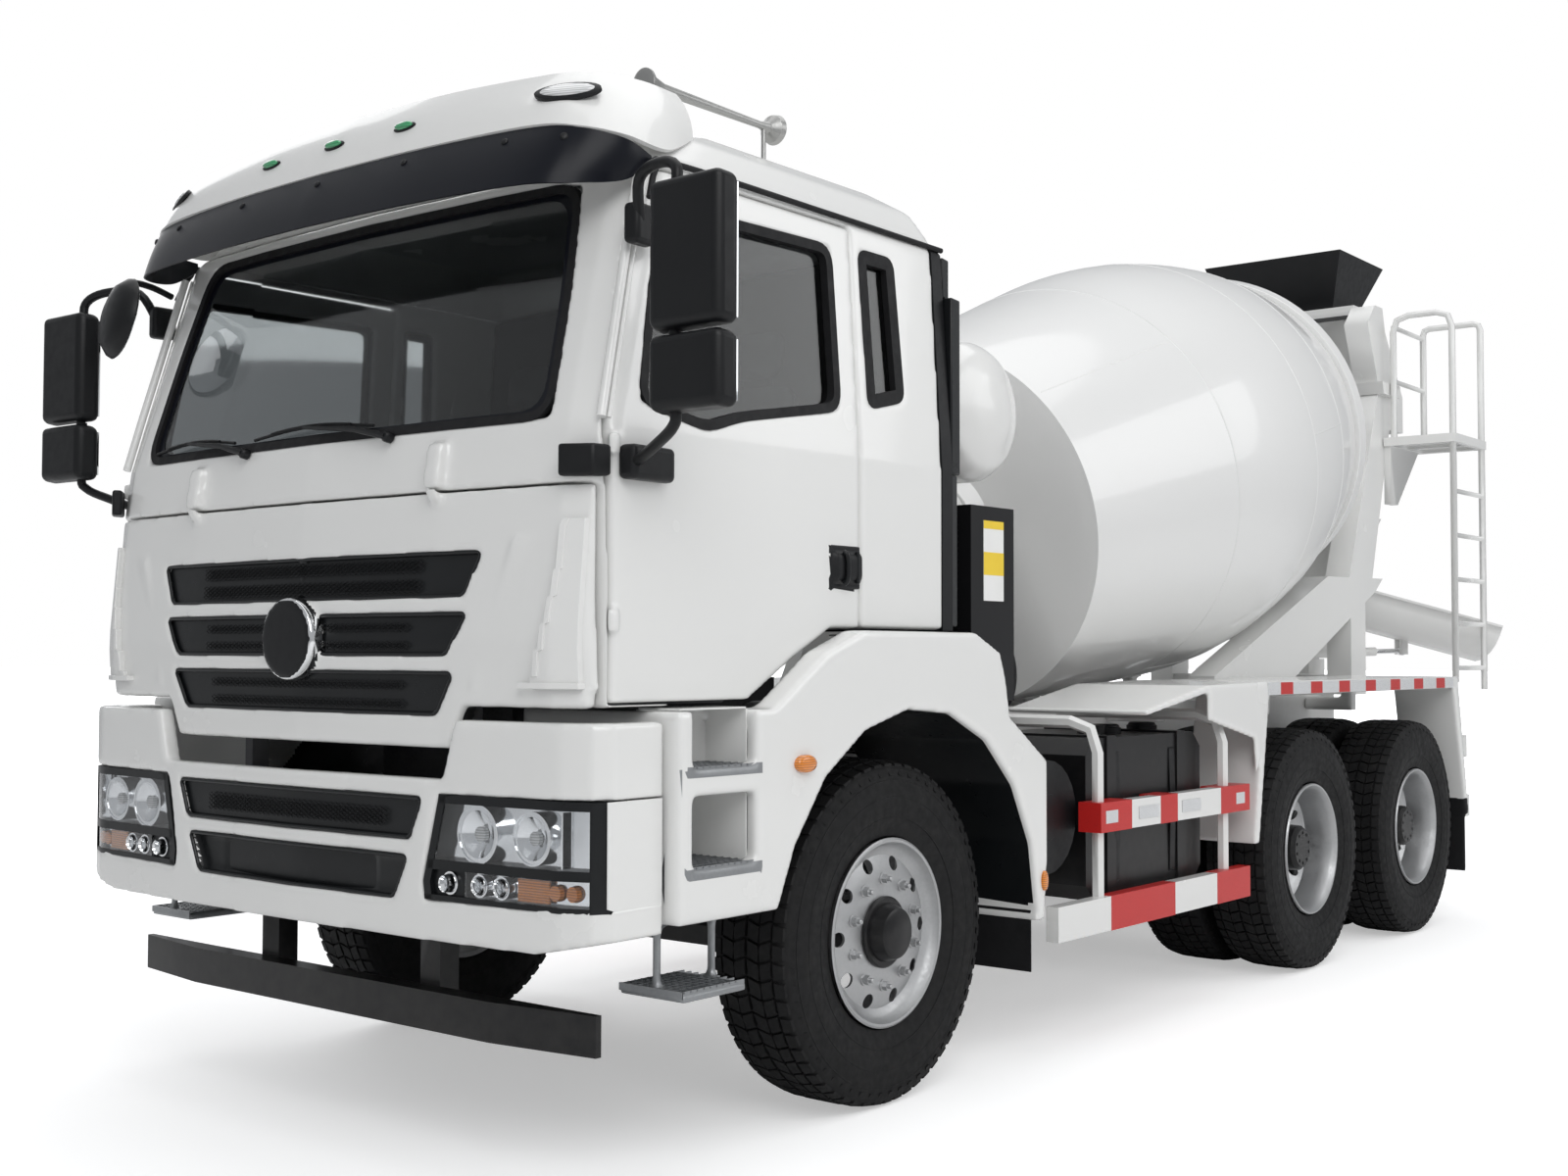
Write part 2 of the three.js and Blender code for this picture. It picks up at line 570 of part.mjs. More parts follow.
/** White lower hopper: a hood over the drum's mouth whose spout leads into it. */
function hopperGuard() {
  const half = POST_X[0] - SEAT_GAP;
  const outline = [[5640, 3484], [6080, 3484], [6440, 3020], [6440, 2800], [6180, 2800], [5905, 3060],
    [5905, 3240], [5640, 3400]];
  const hood = extrude('x', outline, -half, half);
  const hollow = extrude('x', [[5600, 3395], [5700, 3480], [5700, 3500], [6050, 3500], [6050, 3470],
    [6425, 3015], [6425, 2780], [6150, 2780], [5880, 3060], [5880, 3220], [5600, 3360]],
  -half + 12, half - 12);
  return cut(hood, hollow);
}

/** Fixed trough under the drum's mouth that leads the concrete down to the chute. */
function collectorChute() {
  const outside = hull([
    [-POST_X[0] + SEAT_GAP, 5545, 2140], [POST_X[0] - SEAT_GAP, 5545, 2140],
    [-POST_X[0] + SEAT_GAP, 6050, 2240], [POST_X[0] - SEAT_GAP, 6050, 2240],
    [CHUTE_X - 190, 5640, 1870], [CHUTE_X + 190, 5640, 1870],
    [CHUTE_X - 190, 5960, 1870], [CHUTE_X + 190, 5960, 1870]]);
  const inside = hull([
    [-POST_X[0] + 14, 5558, 2145], [POST_X[0] - 14, 5558, 2145],
    [-POST_X[0] + 14, 6038, 2245], [POST_X[0] - 14, 6038, 2245],
    [CHUTE_X - 178, 5652, 1865], [CHUTE_X + 178, 5652, 1865],
    [CHUTE_X - 178, 5948, 1865], [CHUTE_X + 178, 5948, 1865]]);
  return cut(outside, inside);
}

/** Working platform on the left side with its handrails and the ladder below. */
function platformLadder() {
  const [xIn, xOut] = [POST_X[1] + SEAT_GAP, 1040];
  const [yFront, yRear] = [5700, 6260];
  const z = 2640;
  const tread = box([xIn + 5, xOut], [yFront, yRear], [z, z + 50]);
  const wells = [0, 1].map((i) => box([xIn + 60, xOut - 40], [yFront + 40 + i * 250, yFront + 260 + i * 250],
    [z - 10, z + 20]));
  const bracket = extrude('x', [[yFront + 20, z + 10], [yRear - 60, z + 10], [5830, 2300], [5720, 2300]],
    xIn, xIn + 40);
  const rails = [
    tube([[xIn + 60, yFront + 25, z + 40], [xIn + 60, yFront + 25, 3400], [xOut - 20, yFront + 25, 3400],
      [xOut - 20, yFront + 25, 1260]], 19, 90),
    tube([[xIn + 60, yRear - 25, z + 40], [xIn + 60, yRear - 25, 3400], [xOut - 20, yRear - 25, 3400],
      [xOut - 20, yRear - 25, 1210]], 19, 40),
    bar([xIn + 60, yFront + 25, 3340], [xIn + 60, yRear - 25, 3340], 15),
    bar([xIn + 60, yFront + 25, 3020], [xIn + 60, yRear - 25, 3020], 15),
  ];
  const rungs = Array.from({ length: 5 }, (_, i) => bar(
    [xOut - 20, yFront + 25, 2360 - i * 255], [xOut - 20, yRear - 25, 2360 - i * 255], 14));
  return join(cut(tread, wells), bracket, rails, rungs);
}

// ---------------------------------------------------------------- discharge chute

/** Moves a solid drawn with the chute along +Y and its post on the Z axis into its parked heading. */
function parked(body) {
  const degrees = -THREE.MathUtils.radToDeg(CHUTE_HEADING);
  return body.rotate([0, 0, degrees]).translate([CHUTE_X, CHUTE_Y, 0]);
}

function chuteSwivel() {
  const foot = 1390 + SEAT_GAP;
  const post = rod('z', [0, 0, (foot + 1570) / 2], 60, 1570 - foot, 16);
  const arm = box([-60, 60], [0, CHUTE_PIVOT.reach + 60], [1520, 1548]);
  const ears = [-1, 1].map((way) => box(way > 0 ? [52, 72] : [-72, -52],
    [20, CHUTE_PIVOT.reach + 40], [1440, CHUTE_PIVOT.z + 8]));
  const jackEars = [-1, 1].map((way) => box(way > 0 ? [30, 50] : [-50, -30], [40, 150], [1395, 1450]));
  const pin = rod('x', [0, CHUTE_PIVOT.reach, CHUTE_PIVOT.z], 16, 140, 12);
  const jackPin = rod('x', [0, JACK.foot[0], JACK.foot[1]], 12, 90, 12);
  const web = box([-50, 50], [0, 60], [1395, 1540]);
  return parked(join(post, arm, ears, jackEars, pin, jackPin, web));
}

/** Half-round trough on the swivel, with a lug on its underside for the jack. */
function mainChute() {
  const ring = new THREE.Shape();
  ring.absarc(0, 0, CHUTE_RADIUS, Math.PI, 2 * Math.PI, false);
  ring.lineTo(CHUTE_RADIUS + 14, 0);
  ring.lineTo(CHUTE_RADIUS + 14, -14);
  ring.absarc(0, 0, CHUTE_RADIUS + 12, 2 * Math.PI - 0.06, Math.PI + 0.06, true);
  ring.lineTo(-CHUTE_RADIUS - 14, -14);
  ring.lineTo(-CHUTE_RADIUS - 14, 0);
  const trough = extrude('y', ring, -30, CHUTE_LENGTH)
    .rotate([-THREE.MathUtils.radToDeg(CHUTE_SLOPE), 0, 0])
    .translate([0, CHUTE_PIVOT.reach, CHUTE_PIVOT.z + CHUTE_RADIUS + 46]);
  const hinge = box([-45, 45], [CHUTE_PIVOT.reach - 30, CHUTE_PIVOT.reach + 34],
    [CHUTE_PIVOT.z - 26, CHUTE_PIVOT.z + 50]);
  const bore = rod('x', [0, CHUTE_PIVOT.reach, CHUTE_PIVOT.z], 16 + PIN_GAP, 200, 12);
  const [y, z] = JACK.eye;
  const lugs = [-1, 1].map((way) => box(way > 0 ? [24, 36] : [-36, -24], [y - 25, y + 25], [z - 22, 1560]));
  const lugPin = rod('x', [0, y, z], 10, 60, 12);
  return parked(join(cut(join(trough, hinge), bore), lugs, lugPin));
}

/** A solid drawn along +Y from the origin, laid between the jack's foot and its eye. */
function alongJack(body) {
  const [y0, z0] = JACK.foot;
  const [y1, z1] = JACK.eye;
  const rise = THREE.MathUtils.radToDeg(Math.atan2(z1 - z0, y1 - y0));
  return parked(body.rotate([rise, 0, 0]).translate([0, y0, z0]));
}

function jackBarrel() {
  const eye = cut(rod('x', [0, 0, 0], 22, 40, 14), rod('x', [0, 0, 0], 12 + PIN_GAP, 60, 14));
  const tubeBody = cut(
    join(rod('y', [0, 165, 0], 26, 290, 16)), rod('y', [0, 210, 0], 14 + PIN_GAP, 300, 16));
  return alongJack(join(eye, tubeBody));
}

function jackRod() {
  const shaft = rod('y', [0, (100 + JACK_LENGTH - 10) / 2, 0], 14, JACK_LENGTH - 110, 16);
  const eye = rod('x', [0, JACK_LENGTH, 0], 27, 36, 14);
  const hole = rod('x', [0, JACK_LENGTH, 0], 10 + EYE_PLAY, 60, 14);
  return alongJack(cut(join(shaft, eye), hole));
}

// ---------------------------------------------------------------- tanks and side equipment

function waterTank() {
  const y = 950;
  const z = 2310;
  const tank = turned([[-930, 0], [-920, 120], [-880, 220], [-820, 262], [820, 262], [880, 220],
    [920, 120], [930, 0]], 24, [1, 0, 0], [0, y, z]);
  const base = DECK_BASE_Z + SEAT_GAP;
  const stands = SIDES.map(([, side]) => mirrored(join(
    hull([[RAIL_X - 75, 860, base], [RAIL_X - 5, 860, base],
      [RAIL_X - 75, 1040, base], [RAIL_X - 5, 1040, base],
      [RAIL_X - 60, 890, 2090], [RAIL_X - 20, 890, 2090], [RAIL_X - 60, 1010, 2090],
      [RAIL_X - 20, 1010, 2090]]),
  ), side));
  return join(tank, stands, box([-RAIL_X, RAIL_X], [890, 1010], [1900, 1960]));
}

function oilCooler() {
  const shell = box([560, 1060], [570, 850], [1250, 1930]);
  const foot = box([RAIL_X + SEAT_GAP, 630], [770, 850], [900, 980]);
  const post = box([560, 630], [770, 850], [900, 1300]);
  return join(shell, foot, post);
}

function fuelTank() {
  const outline = [[1235, 560], [1300, 500], [2120, 500], [2185, 560], [2185, 1040], [2120, 1100],
    [1300, 1100], [1235, 1040]];
  const shell = extrude('x', outline, 520, 1130);
  const brackets = [1420, 2000].map((y) => join(
    box([RAIL_X + SEAT_GAP, 530], [y - 35, y + 35], [760, 960]),
    cut(box([525, 1138], [y - 35, y + 35], [492, 1108]), box([540, 1100], [y - 50, y + 50], [600, 1000]))));
  return join(shell, brackets, rod('z', [900, 1700, 1110], 60, 50, 16));
}

function airCleaner() {
  const can = rod('x', [900, 985, 830], 205, 430, 24);
  const foot = box([RAIL_X + SEAT_GAP, 720], [900, 1060], [780, 880]);
  return join(can, foot);
}

/** Battery box and air tanks on the right of the frame. */
function batteryBox() {
  const shell = box([-1130, -560], [1250, 1750], [560, 1000]);
  const foot = box([-600, -RAIL_X - SEAT_GAP], [1350, 1650], [780, 900]);
  const tank = rod('y', [-800, 2000, 780], 150, 460, 20);
  const tankFoot = box([-700, -RAIL_X - SEAT_GAP], [1900, 2060], [760, 840]);
  const tie = box([-900, -700], [1740, 1800], [740, 820]);
  return join(shell, foot, tank, tankFoot, tie);
}

function sideGuard(side) {
  const x = [1190, 1240];
  const hoops = [1200, 2250].map((y) => tube(
    [[RAIL_X + SEAT_GAP, y, 1165], [1200, y, 1165], [1200, y, 450]], 24, 110));
  const lower = box(x, [845, 2420], [412, 535]);
  const upper = box(x, [1150, 2420], [770, 875]);
  return mirrored(join(hoops, lower, upper), side);
}

// ---------------------------------------------------------------- bumper, steps and fenders

/** Plan outline of the truck's bowed front at a half width, set back by an inset. */
function frontOutline(half, front, inset, rear) {
  const h = half - inset;
  const f = front + inset;
  return [
    [-h, rear], [-h, f + 135], [-h + 30, f + 85], [-h + 115, f + 50], [-0.5 * h, f + 18], [0, f],
    [0.5 * h, f + 18], [h - 115, f + 50], [h - 30, f + 85], [h, f + 135], [h, rear],
  ];
}

function frontBumper() {
  const front = CAB_FRONT_Y - 20;
  const outer = extrude('z', frontOutline(1200, front, 0, -1130), BUMPER_Z[0], BUMPER_CORNER_Z);
  const inner = extrude('z', frontOutline(1200, front, 55, -1100), BUMPER_Z[0] - 10, BUMPER_CORNER_Z + 10);
  const top = extrude('y', [[-720, 1290], [-660, 1075], [660, 1075], [720, 1290]], -1600, -1000);
  const chin = SIDES.map(([, side]) => mirrored(hull([
    [1250, -1600, 600], [1250, -1000, 600], [800, -1600, 600], [800, -1000, 600],
    [1250, -1600, 690], [1250, -1000, 690]]), side));
  const slots = [
    extrude('y', [[-585, 1024], [-535, 908], [535, 908], [585, 1024]], -1600, -1000),
    extrude('y', [[-530, 864], [-470, 742], [470, 742], [530, 864]], -1600, -1000),
  ];
  const lamps = SIDES.map(([, side]) => mirrored(extrude('y', LAMP_OUTLINE, -1600, -1000), side));
  const shelf = SIDES.map(([, side]) => mirrored(join(
    box([RAIL_X - 70, RAIL_X + 60], [-1390, FRAME_FRONT_Y - SEAT_GAP], [760, 845])), side));
  const plates = SIDES.map(([, side]) => mirrored(
    box([RAIL_X - 70, 560], [-1400, -1360], [680, 900]), side));
  const grid = box([-575, 575], [-1392, -1372], [730, 1040]);
  const shell = cut(outer, inner, top, chin, slots, lamps);
  return join(shell, grid, plates, shelf);
}

/** Headlamp cluster set into the bumper's corner. */
function headlamp(side) {
  const front = CAB_FRONT_Y - 20;
  const outline = LAMP_OUTLINE.map(([x, z]) => [x, z]);
  const block = extrude('z', frontOutline(1200, front, 3, -1150), 600, 1200);
  const inner = extrude('z', frontOutline(1200, front, 53, -1140), 590, 1210);
  const shape = extrude('y', shrink(outline, SEAT_GAP), -1600, -1200);
  return mirrored(cut(block, inner).intersect(shape), side);
}

/** Moves each side of a convex outline inwards by a distance, keeping its corners. */
function shrink(outline, inset) {
  const turn = outline.reduce((sum, [x, y], i) => {
    const [nx, ny] = outline[(i + 1) % outline.length];
    return sum + (nx - x) * (ny + y);
  }, 0) < 0 ? 1 : -1;
  const lines = outline.map(([x, y], i) => {
    const [nx, ny] = outline[(i + 1) % outline.length];
    const length = Math.hypot(nx - x, ny - y);
    const normal = [(-turn * (ny - y)) / length, (turn * (nx - x)) / length];
    return { normal, offset: normal[0] * x + normal[1] * y + inset };
  });
  return lines.map((line, i) => {
    const before = lines[(i + lines.length - 1) % lines.length];
    const det = before.normal[0] * line.normal[1] - before.normal[1] * line.normal[0];
    return [
      (before.offset * line.normal[1] - line.offset * before.normal[1]) / det,
      (before.normal[0] * line.offset - line.normal[0] * before.offset) / det,
    ];
  });
}

function underrunBar() {
  const y = FRAME_FRONT_Y + 5;
  return extrude('z', [[-1060, y + 10], [-1060, y - 10], [-700, y - 60], [700, y - 60], [1060, y - 10],
    [1060, y + 10], [700, y + 5], [-700, y + 5]], ...UNDERRUN_Z);
}

/** Steps and wheel arch beside the cab. */
function stepFender(side) {
  const arc = [];
  for (let i = 0; i <= 8; i += 1) {
    const angle = THREE.MathUtils.degToRad(152 - i * 19);
    arc.push([ARCH_RADIUS * Math.cos(angle), AXLE_Z + ARCH_RADIUS * Math.sin(angle)]);
  }
  const top = CAB_FLOOR_Z - 25;
  const outline = [[-1120, 700], [-700, 700], ...arc, [ARCH_RADIUS - 15, AXLE_Z - 35],
    [ARCH_RADIUS + 45, AXLE_Z - 35], [ARCH_RADIUS + 65, AXLE_Z + 160], [ARCH_RADIUS + 65, 1050],
    [530, 1205], [505, 1330], [470, 1420], [320, 1485], [-300, 1485],
    [-480, 1420], [-720, top], [-1120, top]];
  const outer = extrude('x', outline, 640, BODY_HALF);
  const room = box([600, CAB_HALF + 6], [-1500, 800], [top, 1600]);
  const wider = arc.map(([y, z]) => [y * 1.045, AXLE_Z + (z - AXLE_Z) * 1.045]);
  const inside = extrude('x', [[-1060, 740], [-760, 740], ...wider,
    [ARCH_RADIUS + 35, AXLE_Z + 20], [ARCH_RADIUS + 35, 1040], [480, 1180], [440, 1400],
    [-440, 1400], [-700, top - 40], [-1060, top - 40]],
  630, BODY_HALF - 45);
  const steps = [[845, 250], [1110, 190]].map(([z, depth]) => box(
    [BODY_HALF - depth, BODY_HALF + 10], [-1075, -800], [z, z + 190]));
  const carrier = box([RAIL_X + SEAT_GAP, 700], [-1094, -1060], [760, 860]);
  const rear = box([RAIL_X + SEAT_GAP, 700], [700, 740], [930, 1000]);
  const boards = [845, 1110].map((z) => box(
    [BODY_HALF - 240, BODY_HALF - 5], [-1080, -795], [z - 25, z - 2]));
  const pad = box([640, BODY_HALF], [-1120, -1060], [700, top]);
  const fold = join(
    box([BODY_HALF - 230, BODY_HALF + 5], [-1110, -850], [500, 525]),
    [-1100, -880].map((y) => box([BODY_HALF - 120, BODY_HALF - 95], [y, y + 25], [510, 715])),
    box([645, BODY_HALF - 90], [-1105, -850], [690, 722]));
  return mirrored(join(cut(outer, room, inside, steps), boards, pad, carrier, rear, fold), side);
}

/** Rear fender deck with its sloping front, side valance and mud flap. */
function rearFender(side) {
  const [x0, x1] = [RAIL_X + SEAT_GAP, BODY_HALF];
  const top = extrude('x', [[1500, 1200], [2040, 1290], [DECK_FRONT_Y, DECK_Z], [DECK_REAR_Y, DECK_Z],
    [DECK_REAR_Y, DECK_Z - 20], [DECK_FRONT_Y, DECK_Z - 20], [2040, 1260], [1500, 1180]],
  POST_X[1] + SEAT_GAP, x1);
  const edge = box([x1 - 20, x1], [DECK_FRONT_Y, DECK_REAR_Y], [DECK_Z - 62, DECK_Z]);
  const front = extrude('x', [[2600, 1285], [2640, 1285], [2520, 620], [2470, 620]], x1 - 330, x1);
  const rear = extrude('x', [[4995, 1285], [5080, 1285], [5230, 560], [5190, 560]], x1 - 330, x1);
  const skirt = extrude('x', [[2040, 1275], [2620, 1290], [2500, 900], [2480, 1060], [2040, 1150]],
    x1 - 20, x1);
  const flap = box([x1 - 330, x1 - 10], [5195, 5207], [250, 620]);
  const arms = [2700, 3850, 5000].map((y) => join(
    box([x0, 700], [y - 40, y + 40], [1110, 1180]),
    box([640, 700], [y - 40, y + 40], [1110, DECK_Z - 5])));
  return mirrored(join(top, edge, front, rear, skirt, flap, arms), side);
}

function rearUnderrunBar() {
  const y = FRAME_REAR_Y + SEAT_GAP;
  const bar1 = box([-1150, 1150], [y + 40, y + 130], [520, 640]);
  const lampBar = box([-1150, 1150], [y, y + 60], [860, 960]);
  const drops = SIDES.map(([, side]) => mirrored(
    box([RAIL_X - 70, RAIL_X], [y + 20, y + 90], [560, 900]), side));
  const lamps = SIDES.map(([, side]) => mirrored(box([700, 1150], [y + 55, y + 95], [850, 970]), side));
  return join(bar1, lampBar, drops, lamps);
}

// ---------------------------------------------------------------- cab

/** The cab's outside, set in by a distance: levels of a bowed outline, closed by their hull. */
function cabBody(inset) {
  const levels = [
    [1150 + inset, CAB_HALF - 10, CAB_FRONT_Y + 15, CAB_REAR_Y],
    [1450, CAB_HALF, CAB_FRONT_Y, CAB_REAR_Y],
    [1860, CAB_HALF, CAB_FRONT_Y + 35, CAB_REAR_Y],
    [2020, CAB_HALF, CAB_FRONT_Y + 55, CAB_REAR_Y],
    [2740, CAB_HALF - 45, CAB_FRONT_Y + 260, CAB_REAR_Y - 5],
    [2880 - inset * 0.7, CAB_HALF - 130, CAB_FRONT_Y + 380, CAB_REAR_Y - 50],
    [CAB_ROOF_Z - inset, CAB_HALF - 230, CAB_FRONT_Y + 620, CAB_REAR_Y - 170],
  ];
  return hull(levels.flatMap(([z, half, front, rear]) => frontOutline(half, front, inset, rear - inset)
    .map(([x, y]) => [x, y, z])));
}

/** Everything below the cab's floor line, which the arch and the steps take up. */
function belowCab() {
  return extrude('x', [...CAB_LOW, [CAB_REAR_Y + 20, 900], [CAB_FRONT_Y - 50, 900]], -1400, 1400);
}

function cabShell() {
  const windows = [
    extrude('y', WINDSCREEN, -1800, -900),
    extrude('x', DOOR_WINDOW, -1400, 1400),
    extrude('x', QUARTER_WINDOW, -1400, 1400),
  ];
  return cut(cabBody(0), cabBody(CAB_WALL), belowCab(), windows);
}

const SHELL = cabShell();

/** The doorway's outline, grown by a distance. */
function doorway(grow) {
  return shrink([...DOOR_LOW, [DOOR_REAR_Y, DOOR_TOP_Z], [DOOR_FRONT_Y + 190, DOOR_TOP_Z],
    [DOOR_FRONT_Y, 2030]], -grow);
}

/** The room that each door's leaf and the gap around it take out of the cab's sides. */
function doorways() {
  return SIDES.map(([, side]) => mirrored(extrude('x', doorway(DOOR_GAP), 1050, 1400), side));
}

function cabFront() {
  const region = box([-1300, 1300], [-1600, DOOR_FRONT_Y + 230], [900, ROOF_SPLIT_Z - PANEL_GAP]);
  const lidRoom = box([-1300, 1300], [-1600, LID_BACK_Y], [900, LID_Z[1] + DOOR_GAP]);
  const doors = doorways();
  const bulkhead = box([-CAB_HALF + 110, CAB_HALF - 110], [LID_BACK_Y + 2, LID_BACK_Y + 32],
    [CAB_FLOOR_Z + 60, 2030]);
  const sill = cabBody(0).intersect(
    box([-1049, 1049], [-1400, LID_BACK_Y + 32], [LID_Z[1] + DOOR_GAP, 2035]));
  const front = cut(SHELL.intersect(region), lidRoom, doors);
  const tabs = SIDES.map(([, side]) => mirrored(hull([
    [LID_TAB_X - 30, LID_HINGE_Y - 10, LID_HINGE_Z + LID_BARREL + PIN_GAP],
    [LID_TAB_X + 30, LID_HINGE_Y - 10, LID_HINGE_Z + LID_BARREL + PIN_GAP],
    [LID_TAB_X - 30, LID_HINGE_Y + 45, LID_HINGE_Z + LID_BARREL + PIN_GAP],
    [LID_TAB_X + 30, LID_HINGE_Y + 45, LID_HINGE_Z + LID_BARREL + PIN_GAP],
    [LID_TAB_X - 30, LID_HINGE_Y + 10, 1995], [LID_TAB_X + 30, LID_HINGE_Y + 10, 1995],
    [LID_TAB_X - 30, LID_HINGE_Y + 60, 1995], [LID_TAB_X + 30, LID_HINGE_Y + 60, 1995]]), side));
  const barrelRoom = SIDES.map(([, side]) => DOOR_HINGE_Z.map((z) => mirrored(
    rod('z', [DOOR_HINGE_X, DOOR_HINGE_Y, z], DOOR_BARREL + PIN_GAP, 70, 12), side)));
  return cut(join(front, bulkhead.intersect(cabBody(CAB_WALL - 5)), sill, tabs), ...barrelRoom);
}

/** Front lid with three grille slots, hinged at its top. */
function frontPanel() {
  const outer = cabBody(0);
  const region = box([-LID_HALF, LID_HALF], [-1600, LID_BACK_Y - 8], [LID_Z[0], LID_Z[1]]);
  const corner = SIDES.map(([, side]) => mirrored(extrude('y', [[625, 1100], [700, 1270], [1400, 1270],
    [1400, 1100]], -1700, -1000), side));
  const slots = [
    [[-760, 1690], [-700, 1572], [-680, 1567], [680, 1567], [700, 1572], [760, 1690]],
    [[-720, 1523], [-645, 1408], [645, 1408], [720, 1523]],
    [[-670, 1362], [-600, 1245], [600, 1245], [670, 1362]],
  ].map((outline) => extrude('y', outline, -1700, -1000));
  const grille = cut(cabBody(45), cabBody(60)).intersect(
    box([-790, 790], [-1600, LID_BACK_Y - 8], [1200, 1730]));
  const pads = SIDES.map(([, side]) => mirrored(hull([
    [880, -1378, 1720], [1110, -1330, 1720], [740, -1400, 1320], [1135, -1330, 1320],
    [880, -1330, 1720], [1110, -1300, 1720], [740, -1340, 1320], [1135, -1300, 1320]]), side));
  const badge = rod('y', [0, -1425, 1455], 118, 70, 24);
  const inside = cabBody(30).intersect(
    box([-LID_HALF - 10, LID_HALF + 10], [-1600, -1200], [LID_Z[0] - 10, LID_Z[1] - 30]));
  const shell = cut(outer.intersect(region), inside, corner, slots);
  const spine = box([-20, 20], [-1400, -1350], [1240, 1720]);
  const hinges = SIDES.map(([, side]) => mirrored(join(
    rod('x', [LID_TAB_X, LID_HINGE_Y, LID_HINGE_Z], LID_BARREL, 44, 12),
    box([LID_TAB_X - 20, LID_TAB_X + 20], [LID_HINGE_Y, LID_HINGE_Y + 40],
      [LID_HINGE_Z - 25, LID_HINGE_Z - 3])),
  side));
  return join(shell, cut(grille, corner), spine, cut(join(pads), corner), badge, hinges);
}

function cabSide(side) {
  const back = box([1000, 1300], [DOOR_REAR_Y - 400, BACK_SPLIT_Y], [900, ROOF_SPLIT_Z - PANEL_GAP]);
  const sill = box([CAB_HALF - 110, 1300], [DOOR_FRONT_Y + 230 + SEAT_GAP, BACK_SPLIT_Y],
    [900, ROOF_SPLIT_Z - PANEL_GAP]);
  const doors = doorways();
  const belowDoor = box([0, 2000], [-2000, -500], [900, 1490]);
  return mirrored(cut(SHELL.intersect(join(back, sill)), doors, belowDoor), side);
}

function cabBack() {
  return SHELL.intersect(
    box([-1300, 1300], [BACK_SPLIT_Y + SEAT_GAP, 600], [900, ROOF_SPLIT_Z - PANEL_GAP]));
}

function cabRoof() {
  return SHELL.intersect(box([-1300, 1300], [-1600, 600], [ROOF_SPLIT_Z + PANEL_GAP, 3200]));
}

/** Floor with the hump over the engine and the steps up over the wheels. */
function cabFloor() {
  const room = cabBody(CAB_WALL + SEAT_GAP);
  const low = [[FLOOR_FRONT_Y, CAB_FLOOR_Z - 10], [-725, CAB_FLOOR_Z - 10], [-505, 1410], [-340, 1496],
    [BACK_SPLIT_Y - 1, 1496], [BACK_SPLIT_Y - 1, 1536], [-355, 1536], [-535, 1450], [-740, CAB_FLOOR_Z + 30],
    [FLOOR_FRONT_Y, CAB_FLOOR_Z + 30]];
  const plate = extrude('x', low, -FLOOR_HALF, FLOOR_HALF);
  const hump = box([-420, 420], [FLOOR_FRONT_Y, 245], [CAB_FLOOR_Z - 10, 1600]);
  const under = join(
    box([-380, 380], [LID_BACK_Y, 205], [1000, 1560]),
    box([-430, 430], [100, 400], [1000, 1494]));
  const footX = [RAIL_X + 62, RAIL_X + 100];
  const feet = SIDES.map(([, side]) => mirrored(cut(
    join(box(footX, [CAB_PIVOT_Y - 35, CAB_PIVOT_Y + 135], [CAB_PIVOT_Z - 35, CAB_PIVOT_Z + 35]),
      box(footX, [CAB_PIVOT_Y + 75, CAB_PIVOT_Y + 135], [CAB_PIVOT_Z - 35, CAB_FLOOR_Z + 20])),
    rod('x', [RAIL_X + 80, CAB_PIVOT_Y, CAB_PIVOT_Z], CAB_PIN + PIN_GAP, 100, 16)), side));
  const reach = join(room, box([-FLOOR_HALF, FLOOR_HALF], [-1260, 240], [1000, 1560]));
  return join(cut(join(plate, hump), under).intersect(reach), feet);
}

/** Windscreen pane in the middle of the cab's wall. */
function windscreen() {
  const pane = cut(cabBody(14), cabBody(22));
  return pane.intersect(extrude('y', shrink(WINDSCREEN, SEAT_GAP), -1800, -1000));
}

function door(side) {
  const shape = extrude('x', doorway(0), 1056, 1300);
  const leaf = SHELL.intersect(shape);
  const handle = hull([[CAB_HALF - 5, -340, 1620], [CAB_HALF - 5, -200, 1620], [CAB_HALF - 5, -340, 1730],
    [CAB_HALF - 5, -200, 1730], [CAB_HALF + 22, -335, 1640], [CAB_HALF + 22, -205, 1640],
    [CAB_HALF + 22, -335, 1715], [CAB_HALF + 22, -205, 1715]]);
  const hinges = DOOR_HINGE_Z.map((z) => join(
    rod('z', [DOOR_HINGE_X, DOOR_HINGE_Y, z], DOOR_BARREL, 60, 12),
    box([DOOR_HINGE_X - 30, DOOR_HINGE_X + 8], [DOOR_HINGE_Y + 2, DOOR_HINGE_Y + 22], [z - 28, z + 28])));
  return mirrored(join(leaf, handle, hinges), side);
}

/** Two stacked mirror heads on a bent arm from the front edge of the door. */
function doorMirror(side) {
  const x = [1330, 1600];
  const heads = [[2215, 2590], [2010, 2200]].map(([low, high]) => hull([
    [x[0], -1270, low], [x[1], -1290, low], [x[0], -1270, high], [x[1], -1290, high],
    [x[0] + 30, -1360, low + 20], [x[1] - 30, -1370, low + 20], [x[0] + 30, -1360, high - 20],
    [x[1] - 30, -1370, high - 20]]));
  const seat = CAB_HALF + SEAT_GAP;
  const arm = tube([[CAB_HALF - 20 + 22, -1180, 2560], [1200, -1230, 2660], [1400, -1300, 2640],
    [1400, -1310, 1990], [1180, -1230, 1900]], 15, 45);
  const cover = hull([[seat, -1240, 1860], [seat, -1080, 1870], [seat, -1240, 1960], [seat, -1080, 1950],
    [seat + 60, -1230, 1870], [seat + 60, -1150, 1880], [seat + 60, -1230, 1950]]);
  return mirrored(cut(join(heads, arm, cover), cabBody(-SEAT_GAP)), side);
}

